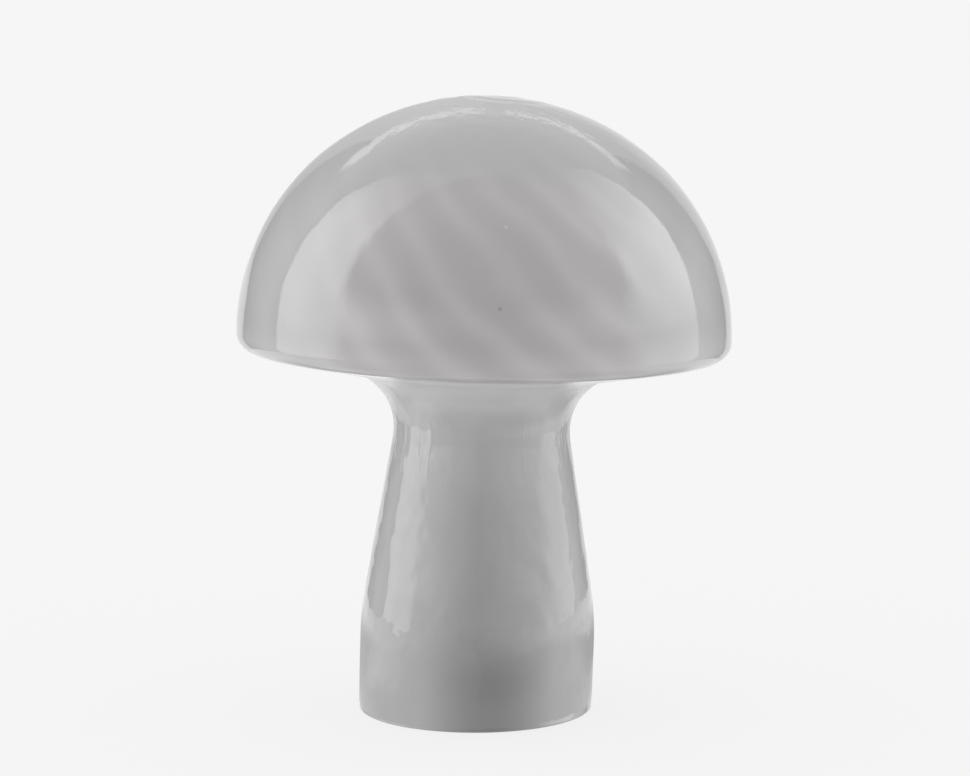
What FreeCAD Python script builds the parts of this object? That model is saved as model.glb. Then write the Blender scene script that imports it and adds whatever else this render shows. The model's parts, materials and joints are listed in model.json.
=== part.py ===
"""Mushroom table lamp: hand-blown glass body over a base fixture with a screw bulb.

Millimetres, +Z up, origin on the table under the middle of the foot.
-Y is the front and +Y the rear, where the cord inlet is.
"""
import FreeCAD
import Part
import math
import os
import re
import Sketcher
from FreeCAD import Placement, Rotation, Vector

doc = FreeCAD.newDocument("MushroomLamp")

# ---------------------------------------------------------------- driving sizes

SIZES = [
    # glass body
    ("lamp_height", 230.0),
    ("cap_radius", 92.2),
    ("crown_flat", 3.5),
    ("shoulder_offset", 5.5),
    ("rim_radius", 6.6),
    ("underside_slope", 10.97),
    ("neck_radius", 32.9),
    ("neck_fillet", 22.2),
    ("neck_level", 106.0),
    ("foot_radius", 44.0),
    ("foot_arc", 140.4),
    ("belly_level", 26.5),
    ("glass_wall", 3.9),
    ("foot_edge_radius", 1.0),
    ("foot_stock", 2.0),
    ("glass_lean", 1.35),
    ("glass_offset", 1.8),
    # cord inlet
    ("cord_level", 10.2),
    ("notch_radius", 5.0),
    ("grommet_bore", 3.2),
    ("grommet_neck", 4.5),
    ("grommet_flange", 5.7),
    ("flange_thickness", 1.4),
    # base pan
    ("pan_gap", 3.6),
    ("pan_height", 24.0),
    ("pan_wall", 1.2),
    ("pan_bend", 3.0),
    ("pan_lift", 2.0),
    ("trim_height", 3.8),
    ("trim_wall", 0.9),
    # spring clips
    ("clip_count", 3),
    ("clip_width", 12.0),
    ("clip_thickness", 0.6),
    ("clip_heel_inset", 5.0),
    ("clip_foot_length", 13.5),
    ("clip_rivet_inset", 7.5),
    ("clip_bend", 2.6),
    ("clip_rise", 11.0),
    ("sleeve_length", 13.0),
    ("sleeve_width", 14.0),
    ("sleeve_thickness", 2.6),
    ("sleeve_gap", 0.3),
    ("rivet_radius", 1.6),
    ("rivet_head", 3.0),
    ("rivet_head_height", 1.1),
    ("rivet_chamfer", 0.4),
    # threaded tube and what is screwed on it
    ("tube_radius", 5.0),
    ("tube_bore", 3.9),
    ("tube_tail", 1.5),
    ("tube_head", 1.0),
    ("tube_chamfer", 0.4),
    ("bush_bore", 3.3),
    ("bush_flange", 6.4),
    ("bush_flange_height", 1.4),
    ("bush_neck_length", 7.0),
    ("washer_radius", 9.0),
    ("washer_thickness", 0.8),
    ("lock_washer_radius", 7.6),
    ("lock_washer_thickness", 0.7),
    ("lock_tooth_count", 12),
    ("lock_tooth_length", 1.1),
    ("lock_tooth_width", 1.4),
    ("nut_across_flats", 14.0),
    ("nut_height", 3.0),
    ("nut_chamfer", 0.6),
    ("spacer_radius", 6.8),
    ("spacer_wall", 1.2),
    ("spacer_length", 32.0),
    # lampholder
    ("holder_radius", 13.8),
    ("holder_wall", 1.8),
    ("holder_edge_radius", 1.2),
    ("holder_cap_height", 22.0),
    ("holder_floor", 6.0),
    ("spigot_height", 6.0),
    ("spigot_wall", 1.4),
    ("skirt_height", 28.0),
    ("lip_height", 2.0),
    ("mouth_radius", 9.2),
    ("insert_tail_level", 12.0),
    ("insert_floor_level", 24.0),
    ("insert_floor", 2.0),
    ("insert_cavity_radius", 8.6),
    ("contact_well_radius", 6.0),
    ("shell_radius", 7.7),
    ("grub_radius", 1.5),
    ("grub_length", 4.5),
    ("grub_slot_width", 0.6),
    ("grub_slot_depth", 0.9),
    ("strip_thickness", 0.35),
    ("strip_width", 3.6),
    ("strip_bend", 0.9),
    ("centre_strip_place", 5.2),
    ("tab_place", 7.1),
    ("tongue_reach", 2.0),
    ("terminal_level", 17.5),
    ("terminal_size", 5.0),
    ("terminal_height", 6.0),
    ("terminal_screw_radius", 1.25),
    ("terminal_screw_length", 5.0),
    ("terminal_head_radius", 2.1),
    ("terminal_head_height", 1.8),
    # bulb, levels counted from the tip of its contact
    ("bulb_insertion", 21.8),
    ("thread_pitch", 2.822),
    ("thread_mean_radius", 6.545),
    ("thread_depth", 0.8),
    ("thread_start", 4.0),
    ("thread_length", 14.0),
    ("thread_clearance", 0.2),
    ("bulb_cap_wall", 0.3),
    ("collar_radius", 8.5),
    ("bulb_cap_length", 25.0),
    ("insulator_radius", 5.0),
    ("contact_radius", 2.6),
    ("contact_height", 1.2),
    ("globe_radius", 22.5),
    ("globe_neck_radius", 8.0),
    ("globe_fillet", 9.0),
    ("globe_wall", 0.7),
    ("globe_seat", 20.5),
    ("globe_neck_length", 4.0),
    ("mount_radius", 2.6),
    ("mount_waist_level", 29.0),
    ("mount_top_level", 41.0),
    ("mount_flare_edge", 0.9),
    ("lead_radius", 0.35),
    ("lead_foot_spread", 1.4),
    ("lead_top_spread", 7.0),
    ("lead_rise", 18.0),
    ("coil_radius", 0.6),
    ("coil_wire_radius", 0.15),
    ("coil_pitch", 1.0),
    # fits
    ("slip_fit", 0.05),
    ("contact_gap", 0.1),
]

sheet = doc.addObject("Spreadsheet::Sheet", "Sizes")
for row, (alias, number) in enumerate(SIZES, start=1):
    sheet.set(f"A{row}", alias.replace("_", " "))
    sheet.set(f"B{row}", str(number))
    sheet.setAlias(f"B{row}", alias)
doc.recompute()

NAMES = {alias for alias, number in SIZES}


def bound(words):
    """Expression text in which each size's name points at its cell."""
    return re.sub(r"[a-z_]+", lambda word: "Sizes." * (word[0] in NAMES) + word[0], words)


def value(words):
    """Number that an expression of the sizes has now."""
    return float(sheet.evalExpression(bound(words)))


# -------------------------------------------------- levels, as sums of the sizes

CROWN_RADIUS = "(cap_radius + crown_flat)"
SHOULDER_RADIUS = "(cap_radius - shoulder_offset)"
PAN_RADIUS = "(foot_radius - glass_wall - pan_gap)"
CLIP_HEEL = f"({PAN_RADIUS} - clip_heel_inset)"
CLIP_END = f"({CLIP_HEEL} - clip_foot_length)"
CLIP_RIVET = f"({CLIP_HEEL} - clip_rivet_inset)"
PAN_TOP = "pan_height"
PAN_UNDER = "(pan_height - pan_wall)"
TUBE_FOOT = f"({PAN_UNDER} - washer_thickness - lock_washer_thickness - nut_height - tube_tail)"
SPACER_FOOT = "(pan_height + washer_thickness + nut_height)"
HOLDER_FOOT = f"({SPACER_FOOT} + spacer_length)"
SKIRT_FOOT = f"({HOLDER_FOOT} + holder_cap_height)"
SPIGOT_TOP = f"({SKIRT_FOOT} + spigot_height)"
HOLDER_TOP = f"({SKIRT_FOOT} + skirt_height)"
INSERT_TOP = f"({HOLDER_TOP} - lip_height)"
TUBE_TOP = f"({HOLDER_FOOT} + holder_floor + tube_head)"
INSERT_FLOOR = f"({HOLDER_FOOT} + insert_floor_level)"
TERMINAL_FOOT = f"({HOLDER_FOOT} + terminal_level)"
BULB_TIP = f"({HOLDER_TOP} - bulb_insertion)"
THREAD_FOOT = f"({BULB_TIP} + thread_start)"
COLLAR_FOOT = f"({THREAD_FOOT} + thread_length)"
SHELL_TOP = f"({COLLAR_FOOT} - contact_gap)"
GLOBE_DROP = "sqrt((globe_radius + globe_fillet)^2 - (globe_neck_radius + globe_fillet)^2)"
GLOBE_MIDDLE = f"({BULB_TIP} + bulb_cap_length + globe_neck_length + {GLOBE_DROP})"

SKIRT_BORE = "(holder_radius - holder_wall)"
SPIGOT_RADIUS = f"({SKIRT_BORE} - slip_fit)"
SPIGOT_BORE = f"({SPIGOT_RADIUS} - spigot_wall)"

# slope of a nut's bevel, rounding of the trim's lower edges, share of the contact
# tongue's height at which it leans over
NUT_BEVEL = "tan(30 deg)"
TRIM_ROUND = "(trim_wall * 0.6)"
TONGUE_LOW = 0.3

# ------------------------------------------------------------------- tools

LEVEL_MATCH = 1e-4
finished = {}


def finish(label, thing):
    """Gives a finished sub-part its label and keeps it for the checks at the end."""
    thing.Label = label
    finished[label] = thing
    return thing


def bind(thing, **expressions):
    """Ties properties such as Radius or Height to expressions of the sizes."""
    for name, words in expressions.items():
        thing.setExpression(name, bound(words))
    return thing


def move(thing, x="0", y="0", z="0"):
    """Ties a placement's base to expressions of the sizes."""
    for axis, words in zip("xyz", (x, y, z)):
        if words != "0":
            thing.setExpression("Placement.Base." + axis, bound(words))
    return thing


def cylinder(name, radius, height, x="0", y="0", z="0"):
    """Upright cylinder."""
    solid = doc.addObject("Part::Cylinder", name)
    bind(solid, Radius=radius, Height=height)
    return move(solid, x, y, z)


def box(name, x_span, y_span, z_span):
    """Box between two expressions along each axis."""
    solid = doc.addObject("Part::Box", name)
    sides = {"Length": x_span, "Width": y_span, "Height": z_span}
    for side, (low, high) in sides.items():
        solid.setExpression(side, bound(f"({high}) - ({low})"))
    return move(solid, *(low for low, high in sides.values()))


def cut(name, base, tool):
    """Base without tool."""
    result = doc.addObject("Part::Cut", name)
    result.Base = base
    result.Tool = tool
    return result


def fuse(name, shapes):
    """One solid from several that overlap or meet."""
    result = doc.addObject("Part::MultiFuse", name)
    result.Shapes = shapes
    result.Refine = True
    return result


def group(name, shapes):
    """Separate solids that share one sub-part."""
    result = doc.addObject("Part::Compound", name)
    result.Links = shapes
    return result


def new_body(name):
    """Empty body."""
    return doc.addObject("PartDesign::Body", name)


def new_sketch(body, name, role, offset="0"):
    """Sketch on one of the body's own origin planes, at an offset along its normal."""
    sketch = body.newObject("Sketcher::SketchObject", name)
    plane = next(f for f in body.Origin.OriginFeatures if f.Role == role)
    sketch.AttachmentSupport = [(plane, "")]
    sketch.MapMode = "FlatFace"
    if offset != "0":
        sketch.setExpression("AttachmentOffset.Base.z", bound(offset))
    return sketch


def fix(sketch, kind, item, vertex, words):
    """Ties a vertex's distance from the sketch's origin, across or up, to an expression."""
    index = sketch.addConstraint(Sketcher.Constraint(kind, -1, 1, item, vertex, value(words)))
    sketch.setExpression(f"Constraints[{index}]", bound(words))


def fix_point(sketch, item, vertex, x, y):
    """Ties both coordinates of a vertex."""
    for kind, words, axis in (("DistanceX", x, -2), ("DistanceY", y, -1)):
        if words == "0":
            sketch.addConstraint(Sketcher.Constraint("PointOnObject", item, vertex, axis))
        else:
            fix(sketch, kind, item, vertex, words)


def fix_radius(sketch, item, words):
    """Ties an arc's or circle's radius."""
    index = sketch.addConstraint(Sketcher.Constraint("Radius", item, value(words)))
    sketch.setExpression(f"Constraints[{index}]", bound(words))


def polygon(sketch, corners):
    """Closed outline whose corners are (across, up) expressions."""
    points = [Vector(value(x), value(y), 0) for x, y in corners]
    count = len(points)
    for i, point in enumerate(points):
        sketch.addGeometry(Part.LineSegment(point, points[(i + 1) % count]), False)
    for i in range(count):
        sketch.addConstraint(Sketcher.Constraint("Coincident", i, 2, (i + 1) % count, 1))
    for i, (x, y) in enumerate(corners):
        fix_point(sketch, i, 1, x, y)


def circle(sketch, x, y, radius):
    """Circle with its centre at (across, up) expressions."""
    centre = Vector(value(x), value(y), 0)
    item = sketch.addGeometry(Part.Circle(centre, Vector(0, 0, 1), value(radius)), False)
    fix_point(sketch, item, 3, x, y)
    fix_radius(sketch, item, radius)


def outline(sketch, start, pieces):
    """Chain of lines (end, None, 0) and arcs (end, centre, turn), +1 counter-clockwise.

    Returns each piece's index with the vertex numbers of its first and last end.
    """
    chain = []
    here = start
    for end, centre, turn in pieces:
        if centre is None:
            item = sketch.addGeometry(Part.LineSegment(here, end), False)
            chain.append((item, 1, 2))
        else:
            spoke = here - centre
            angles = [math.atan2(p.y - centre.y, p.x - centre.x) for p in (here, end)]
            first, last = angles if turn > 0 else reversed(angles)
            last += 2 * math.pi * (last < first)
            ring = Part.Circle(centre, Vector(0, 0, 1), spoke.Length)
            item = sketch.addGeometry(Part.ArcOfCircle(ring, first, last), False)
            chain.append((item, 1, 2) if turn > 0 else (item, 2, 1))
        here = end
    return chain


def join(sketch, kind, before, after):
    """Joins the last end of one piece of a chain to the first end of the next."""
    sketch.addConstraint(Sketcher.Constraint(kind, before[0], before[2], after[0], after[1]))


def revolve(body, sketch):
    """Full turn about the sketch's upright axis."""
    turn = body.newObject("PartDesign::Revolution", body.Name + "_Turn")
    turn.Profile = sketch
    turn.ReferenceAxis = (sketch, ["V_Axis"])
    turn.Angle = 360
    doc.recompute()
    return turn


def groove(body, sketch):
    """Cuts a full turn of a sketch about its upright axis, and makes sure that it cut something."""
    before = body.Shape.Volume
    turn = body.newObject("PartDesign::Groove", sketch.Name + "_Cut")
    turn.Profile = sketch
    turn.ReferenceAxis = (sketch, ["V_Axis"])
    turn.Angle = 360
    doc.recompute()
    if not turn.Shape.Volume < before:
        raise ValueError(sketch.Name + " cuts nothing")
    return turn


def turned(name, corners):
    """Body turned from one closed outline of (radius, level) corners."""
    body = new_body(name)
    sketch = new_sketch(body, name + "_Profile", "XZ_Plane")
    polygon(sketch, corners)
    revolve(body, sketch)
    return body


def pocket(body, sketch, backwards):
    """Cuts a sketch through the body, one way, and makes sure that it cut something."""
    before = body.Shape.Volume
    hole = body.newObject("PartDesign::Pocket", sketch.Name + "_Cut")
    hole.Profile = sketch
    hole.Type = "ThroughAll"
    hole.Reversed = backwards
    doc.recompute()
    if not hole.Shape.Volume < before:
        raise ValueError(sketch.Name + " cuts nothing")
    return hole


def polar(body, feature, words):
    """Repeats a feature evenly about the body's upright axis."""
    pattern = body.newObject("PartDesign::PolarPattern", feature.Name + "_Ring")
    pattern.Originals = [feature]
    axis = next(f for f in body.Origin.OriginFeatures if f.Role == "Z_Axis")
    pattern.Axis = (axis, [""])
    pattern.Angle = 360
    pattern.setExpression("Occurrences", bound(words))
    body.Tip = pattern
    doc.recompute()
    return pattern


def ring_edges(shape, rings):
    """Names of the round edges that lie at given (radius, level) pairs."""
    wanted = [(value(radius), value(level)) for radius, level in rings]
    names = []
    for number, edge in enumerate(shape.Edges, start=1):
        if edge.Degenerated or not isinstance(edge.Curve, Part.Circle):
            continue
        curve = edge.Curve
        for radius, level in wanted:
            if abs(curve.Radius - radius) < LEVEL_MATCH and abs(curve.Center.z - level) < LEVEL_MATCH:
                names.append(f"Edge{number}")
    return names


def soften(body, edges, words):
    """Rounds named edges of the body's last feature."""
    base = body.Tip
    feature = body.newObject("PartDesign::Fillet", base.Name + "_Edge")
    feature.Base = (base, edges)
    bind(feature, Radius=words)
    doc.recompute()
    return feature


def soften_rings(body, rings, words):
    """Rounds the round edges at given (radius, level) pairs."""
    edges = ring_edges(body.Tip.Shape, rings)
    if len(edges) < len(rings):
        raise ValueError(body.Name + " has no such edge")
    return soften(body, edges, words)


def bent_path(sketch, corners, bend):
    """Open path of straight runs whose inner corners are rounded by tangent arcs."""
    points = [Vector(value(x), value(y), 0) for x, y in corners]
    radius = value(bend)
    runs = [(b - a).normalize() for a, b in zip(points, points[1:])]
    start = points[0]
    pieces = []
    for corner, into, out in zip(points[1:], runs, runs[1:]):
        turn = math.copysign(1, into.x * out.y - into.y * out.x)
        setback = radius * math.tan(into.getAngle(out) / 2)
        begin = corner - into * setback
        side = Vector(-into.y, into.x, 0) * turn
        pieces.append((begin, None, 0))
        pieces.append((corner + out * setback, begin + side * radius, turn))
    pieces.append((points[-1], None, 0))
    chain = outline(sketch, start, pieces)
    for before, after in zip(chain, chain[1:]):
        join(sketch, "Tangent", before, after)
    for i, (x, y) in enumerate(corners[1:-1]):
        fix_radius(sketch, chain[2 * i + 1][0], bend)
        mark = sketch.addGeometry(Part.Point(points[i + 1]), True)
        fix_point(sketch, mark, 1, x, y)
        for line in (chain[2 * i], chain[2 * i + 2]):
            sketch.addConstraint(Sketcher.Constraint("PointOnObject", mark, 1, line[0]))
    fix_point(sketch, chain[0][0], 1, *corners[0])
    fix_point(sketch, chain[-1][0], 2, *corners[-1])


def pipe(body, section, path):
    """Sweeps a section sketch along a path sketch."""
    doc.recompute()
    sweep = body.newObject("PartDesign::AdditivePipe", body.Name + "_Sweep")
    sweep.Profile = section
    sweep.Spine = (path, [f"Edge{i + 1}" for i in range(len(path.Shape.Edges))])
    doc.recompute()
    return sweep


def thread_core(name, mean_radius, foot, length):
    """Round-thread rod: a disc swept up a helix with its centre half a depth off the axis."""
    helix = doc.addObject("Part::Helix", name + "_Helix")
    bind(helix, Pitch="thread_pitch", Height=length, Radius="thread_depth / 2")
    move(helix, z=foot)
    disc = doc.addObject("Part::Circle", name + "_Disc")
    bind(disc, Radius=mean_radius)
    move(disc, x="thread_depth / 2", z=foot)
    doc.recompute()
    core = doc.addObject("Part::Sweep", name)
    core.Sections = [disc]
    core.Spine = (helix, [f"Edge{i + 1}" for i in range(len(helix.Shape.Edges))])
    core.Solid = True
    core.Frenet = True
    return core


# -------------------------------------------------------------- the glass body

def glass_profile(inset):
    """Tangent points of the outline, from the crown down to the foot, a given inset inside.

    Crown and shoulder arcs touch inside, the small rim arc rolls under, the underside
    slopes down to the neck's hollow arc, and one straight run touches the foot's arc.
    """
    crown = value(f"{CROWN_RADIUS} - {inset}")
    shoulder = value(f"{SHOULDER_RADIUS} - {inset}")
    rim = value(f"rim_radius - {inset}")
    neck = value(f"neck_fillet + {inset}")
    foot = value(f"foot_arc - {inset}")
    foot_edge = value(f"foot_radius - {inset}")
    slope = math.radians(value("underside_slope"))
    top = Vector(0, value(f"lamp_height - {inset}"), 0)
    crown_centre = top - Vector(0, crown, 0)
    across = value("shoulder_offset")
    up = math.sqrt((crown - shoulder) ** 2 - across ** 2)
    shoulder_centre = crown_centre + Vector(across, up, 0)
    crown_end = crown_centre + Vector(across, up, 0).normalize() * crown
    neck_centre = Vector(value("neck_radius + neck_fillet"), value("neck_level"), 0)
    along = Vector(math.cos(slope), math.sin(slope), 0)
    normal = Vector(-math.sin(slope), math.cos(slope), 0)
    neck_start = neck_centre + normal * neck
    # the rim's centre lies on a line parallel to the underside and inside the shoulder
    base = neck_start + normal * rim - shoulder_centre
    half = base.dot(along)
    run = -half + math.sqrt(half ** 2 - base.dot(base) + (shoulder - rim) ** 2)
    rim_centre = neck_start + normal * rim + along * run
    shoulder_end = shoulder_centre + (rim_centre - shoulder_centre).normalize() * shoulder
    rim_end = rim_centre - normal * rim
    foot_centre = Vector(foot_edge - foot, value("belly_level"), 0)
    span = neck_centre - foot_centre
    lean = math.atan2(span.y, span.x) - math.acos((foot + neck) / span.Length)
    outward = Vector(math.cos(lean), math.sin(lean), 0)
    return [
        (top, None, 0),
        (crown_end, crown_centre, -1),
        (shoulder_end, shoulder_centre, -1),
        (rim_end, rim_centre, -1),
        (neck_start, None, 0),
        (neck_centre - outward * neck, neck_centre, 1),
        (foot_centre + outward * foot, None, 0),
        (Vector(foot_edge, value("belly_level"), 0), foot_centre, -1),
        (Vector(foot_edge, -value("foot_stock"), 0), None, 0),
        (Vector(0, -value("foot_stock"), 0), None, 0),
        (top, None, 0),
    ]


def glass_sketch(body, name, inset):
    """Draws the profile and ties its arcs and levels to the sizes."""
    sketch = new_sketch(body, name, "XZ_Plane")
    points = glass_profile(inset)
    chain = outline(sketch, points[0][0], points[1:])
    crown, shoulder, rim, underside, neck, stem, foot, wall, floor, axis = chain
    for before, after in zip(chain[:7], chain[1:8]):
        join(sketch, "Tangent", before, after)
    for before, after in ((wall, floor), (floor, axis), (axis, crown)):
        join(sketch, "Coincident", before, after)
    fix_point(sketch, crown[0], crown[1], "0", f"lamp_height - {inset}")
    sketch.addConstraint(Sketcher.Constraint("PointOnObject", crown[0], 3, -2))
    fix_radius(sketch, crown[0], f"{CROWN_RADIUS} - {inset}")
    fix_radius(sketch, shoulder[0], f"{SHOULDER_RADIUS} - {inset}")
    fix(sketch, "DistanceX", shoulder[0], 3, "shoulder_offset")
    fix_radius(sketch, rim[0], f"rim_radius - {inset}")
    slope = math.radians(value("underside_slope") - 180)
    index = sketch.addConstraint(Sketcher.Constraint("Angle", underside[0], slope))
    sketch.setExpression(f"Constraints[{index}]", bound("underside_slope * 1 deg - 180 deg"))
    fix_radius(sketch, neck[0], f"neck_fillet + {inset}")
    fix_point(sketch, neck[0], 3, "neck_radius + neck_fillet", "neck_level")
    fix_radius(sketch, foot[0], f"foot_arc - {inset}")
    fix_point(sketch, foot[0], 3, "foot_radius - foot_arc", "belly_level")
    sketch.addConstraint(Sketcher.Constraint("Vertical", wall[0]))
    sketch.addConstraint(Sketcher.Constraint("Horizontal", floor[0]))
    fix_point(sketch, floor[0], floor[2], "0", "-foot_stock")
    return sketch


def grind_foot(body):
    """Cuts the foot's stock away level with the table, and rounds both edges left.

    In the leaning glass's own frame the table's surface rises to the right.
    """
    reach = "(foot_radius + foot_stock)"
    rise = f"{reach} * tan(glass_lean * 1 deg)"
    ground = new_sketch(body, "GroundFoot", "XZ_Plane", reach)
    polygon(ground, [
        (f"-{reach}", f"-{rise}"), (f"-{reach}", "-2 * foot_stock"),
        (reach, "-2 * foot_stock"), (reach, rise),
    ])
    cut_away = pocket(body, ground, False)
    lean = math.radians(value("glass_lean"))
    up = Vector(-math.sin(lean), 0, math.cos(lean))
    edges = []
    for number, edge in enumerate(cut_away.Shape.Edges, start=1):
        points = [edge.valueAt(end) for end in (edge.FirstParameter, edge.LastParameter)]
        points.append(edge.valueAt((edge.FirstParameter + edge.LastParameter) / 2))
        if all(abs(point.dot(up)) < LEVEL_MATCH for point in points):
            edges.append(f"Edge{number}")
    soften(body, edges, "foot_edge_radius")


def make_glass_body():
    """Turned outer form, hollowed to one wall, with a ground foot and a cord notch.

    The whole body leans to the right, and stands off the fixture's axis by an offset
    to the left at the foot, so that the clips hold it near its middle.
    """
    body = new_body("GlassBody")
    revolve(body, glass_sketch(body, "GlassProfile", "0"))
    groove(body, glass_sketch(body, "GlassHollow", "glass_wall"))
    grind_foot(body)
    notch = new_sketch(body, "CordNotch", "XZ_Plane")
    near_side = "glass_offset - notch_radius"
    far_side = "glass_offset + notch_radius"
    level = value("cord_level")
    low = -value("foot_stock")
    right = Vector(value(far_side), level, 0)
    left = Vector(value(near_side), level, 0)
    low_left = Vector(left.x, low, 0)
    low_right = Vector(right.x, low, 0)
    arch = outline(notch, low_right, [
        (right, None, 0),
        (left, Vector(value("glass_offset"), level, 0), 1),
        (low_left, None, 0),
        (low_right, None, 0),
    ])
    for before, after in zip(arch, arch[1:] + arch[:1]):
        join(notch, "Coincident", before, after)
    fix_point(notch, arch[0][0], 1, far_side, "-foot_stock")
    fix_point(notch, arch[1][0], 1, far_side, "cord_level")
    fix_point(notch, arch[1][0], 2, near_side, "cord_level")
    fix_point(notch, arch[2][0], 2, near_side, "-foot_stock")
    fix(notch, "DistanceY", arch[1][0], 3, "cord_level")
    pocket(body, notch, False)
    body.Placement = Placement(Vector(0, 0, 0), Rotation(Vector(0, 1, 0), value("glass_lean")))
    body.setExpression("Placement.Rotation.Angle", bound("glass_lean * 1 deg"))
    move(body, x="-glass_offset")
    finish("glass_body", body)


# ------------------------------------------------------------ the base fixture

def make_base_pan():
    """Pressed pan with a down-turned skirt, tube hole, rivet holes and a cord hole."""
    inner = f"{PAN_RADIUS} - pan_wall"
    hole = "tube_radius + slip_fit"
    body = turned("BasePan", [
        (hole, PAN_UNDER), (inner, PAN_UNDER), (inner, "pan_lift"),
        (PAN_RADIUS, "pan_lift"), (PAN_RADIUS, PAN_TOP), (hole, PAN_TOP),
    ])
    soften_rings(body, [(PAN_RADIUS, PAN_TOP)], "pan_bend")
    soften_rings(body, [(inner, PAN_UNDER)], "pan_bend - pan_wall")
    rivets = new_sketch(body, "RivetHole", "XY_Plane")
    circle(rivets, "0", f"-{CLIP_RIVET}", "rivet_radius")
    first = pocket(body, rivets, True)
    polar(body, first, "clip_count")
    inlet = new_sketch(body, "CordHole", "XZ_Plane")
    circle(inlet, "0", "cord_level", "grommet_neck")
    pocket(body, inlet, False)
    finish("base_pan", body)


def make_base_trim_ring():
    """Rubber channel round the skirt's lower edge, open at the top."""
    outer = f"{PAN_RADIUS} + trim_wall"
    inner = f"{PAN_RADIUS} - pan_wall - trim_wall"
    body = turned("BaseTrim", [
        (inner, "0"), (outer, "0"), (outer, "trim_height"), (PAN_RADIUS, "trim_height"),
        (PAN_RADIUS, "pan_lift"), (f"{PAN_RADIUS} - pan_wall", "pan_lift"),
        (f"{PAN_RADIUS} - pan_wall", "trim_height"), (inner, "trim_height"),
    ])
    soften_rings(body, [(outer, "0"), (inner, "0")], TRIM_ROUND)
    finish("base_trim_ring", body)


def make_cord_grommet():
    """Rubber bush whose two flanges hold the skirt's wall, with its axis pointing rearward."""
    inner_face = f"(sqrt(({PAN_RADIUS} - pan_wall)^2 - grommet_flange^2) - {PAN_RADIUS} - slip_fit)"
    neck = "grommet_neck - slip_fit"
    body = turned("CordGrommet", [
        ("grommet_bore", f"{inner_face} - flange_thickness"),
        ("grommet_flange", f"{inner_face} - flange_thickness"),
        ("grommet_flange", inner_face),
        (neck, inner_face),
        (neck, "slip_fit"),
        ("grommet_flange", "slip_fit"),
        ("grommet_flange", "slip_fit + flange_thickness"),
        ("grommet_bore", "slip_fit + flange_thickness"),
    ])
    soften_rings(body, [("grommet_flange", "slip_fit + flange_thickness")], "flange_thickness / 2")
    body.Placement = Placement(Vector(0, 0, 0), Rotation(Vector(1, 0, 0), -90))
    move(body, y=PAN_RADIUS, z="cord_level")
    finish("cord_grommet", body)


# each clip leaf: flat on the pan, up a leaning run, then straight up inside its sleeve
SLEEVE_FOOT = "(pan_height + clip_thickness / 2 + clip_rise)"
SLEEVE_TOP = f"({SLEEVE_FOOT} + sleeve_length)"
BORE_LEVEL = f"({SLEEVE_TOP} + foot_radius * sin(glass_lean * 1 deg))"
FOOT_BORE = (
    "(foot_radius - foot_arc"
    f" + sqrt((foot_arc - glass_wall)^2 - ({BORE_LEVEL} - belly_level)^2))"
)
BORE_SHIFT = f"({SLEEVE_TOP} * tan(glass_lean * 1 deg) - glass_offset)"


def sleeve_face(angle):
    """Distance from the axis to a sleeve's flat face, a gap inside the leaning glass.

    The glass's bore is off the axis at the sleeves' level, towards the face or away
    from it by its cosine, and past one of the face's corners by its sine.
    """
    toward = f"{BORE_SHIFT} * cos({angle} deg)"
    across = f"(sleeve_width / 2 + abs({BORE_SHIFT} * sin({angle} deg)))"
    return f"({toward} + sqrt(({FOOT_BORE} - sleeve_gap)^2 - {across}^2))"


def make_spring_clip(number, angle):
    """Bent leaf with a rivet hole, and the silicone sleeve on its tip."""
    middle = "pan_height + clip_thickness / 2"
    face = sleeve_face(angle)
    tip = f"({face} - sleeve_thickness / 2)"
    leaf = new_body(f"Clip{number}")
    path = new_sketch(leaf, f"ClipPath{number}", "XZ_Plane")
    bent_path(path, [
        (CLIP_END, middle), (CLIP_HEEL, middle),
        (tip, SLEEVE_FOOT), (tip, f"{SLEEVE_TOP} - clip_thickness"),
    ], "clip_bend")
    section = new_sketch(leaf, f"ClipSection{number}", "YZ_Plane", CLIP_END)
    polygon(section, [
        ("-clip_width / 2", "pan_height"), ("clip_width / 2", "pan_height"),
        ("clip_width / 2", "pan_height + clip_thickness"),
        ("-clip_width / 2", "pan_height + clip_thickness"),
    ])
    pipe(leaf, section, path)
    hole = new_sketch(leaf, f"ClipHole{number}", "XY_Plane")
    circle(hole, CLIP_RIVET, "0", "rivet_radius")
    pocket(leaf, hole, True)
    turn = Placement(Vector(0, 0, 0), Rotation(Vector(0, 0, 1), angle))
    leaf.Placement = turn
    finish(f"spring_clip_{number}", leaf)

    sleeve = new_body(f"Sleeve{number}")
    block = new_sketch(sleeve, f"SleeveOutline{number}", "XY_Plane", SLEEVE_FOOT)
    half = "(sleeve_width / 2)"
    back = f"{face} - sleeve_thickness"
    polygon(block, [(back, f"-{half}"), (face, f"-{half}"), (face, half), (back, half)])
    pad = sleeve.newObject("PartDesign::Pad", f"SleevePad{number}")
    pad.Profile = block
    bind(pad, Length="sleeve_length")
    doc.recompute()
    slot = new_sketch(sleeve, f"SleeveSlot{number}", "XY_Plane")
    room = "(clip_thickness / 2 + slip_fit)"
    side = "(clip_width / 2 + slip_fit)"
    polygon(slot, [
        (f"{tip} - {room}", f"-{side}"), (f"{tip} + {room}", f"-{side}"),
        (f"{tip} + {room}", side), (f"{tip} - {room}", side),
    ])
    pocket(sleeve, slot, True)
    sleeve.Placement = turn
    finish(f"clip_sleeve_{number}", sleeve)


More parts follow.
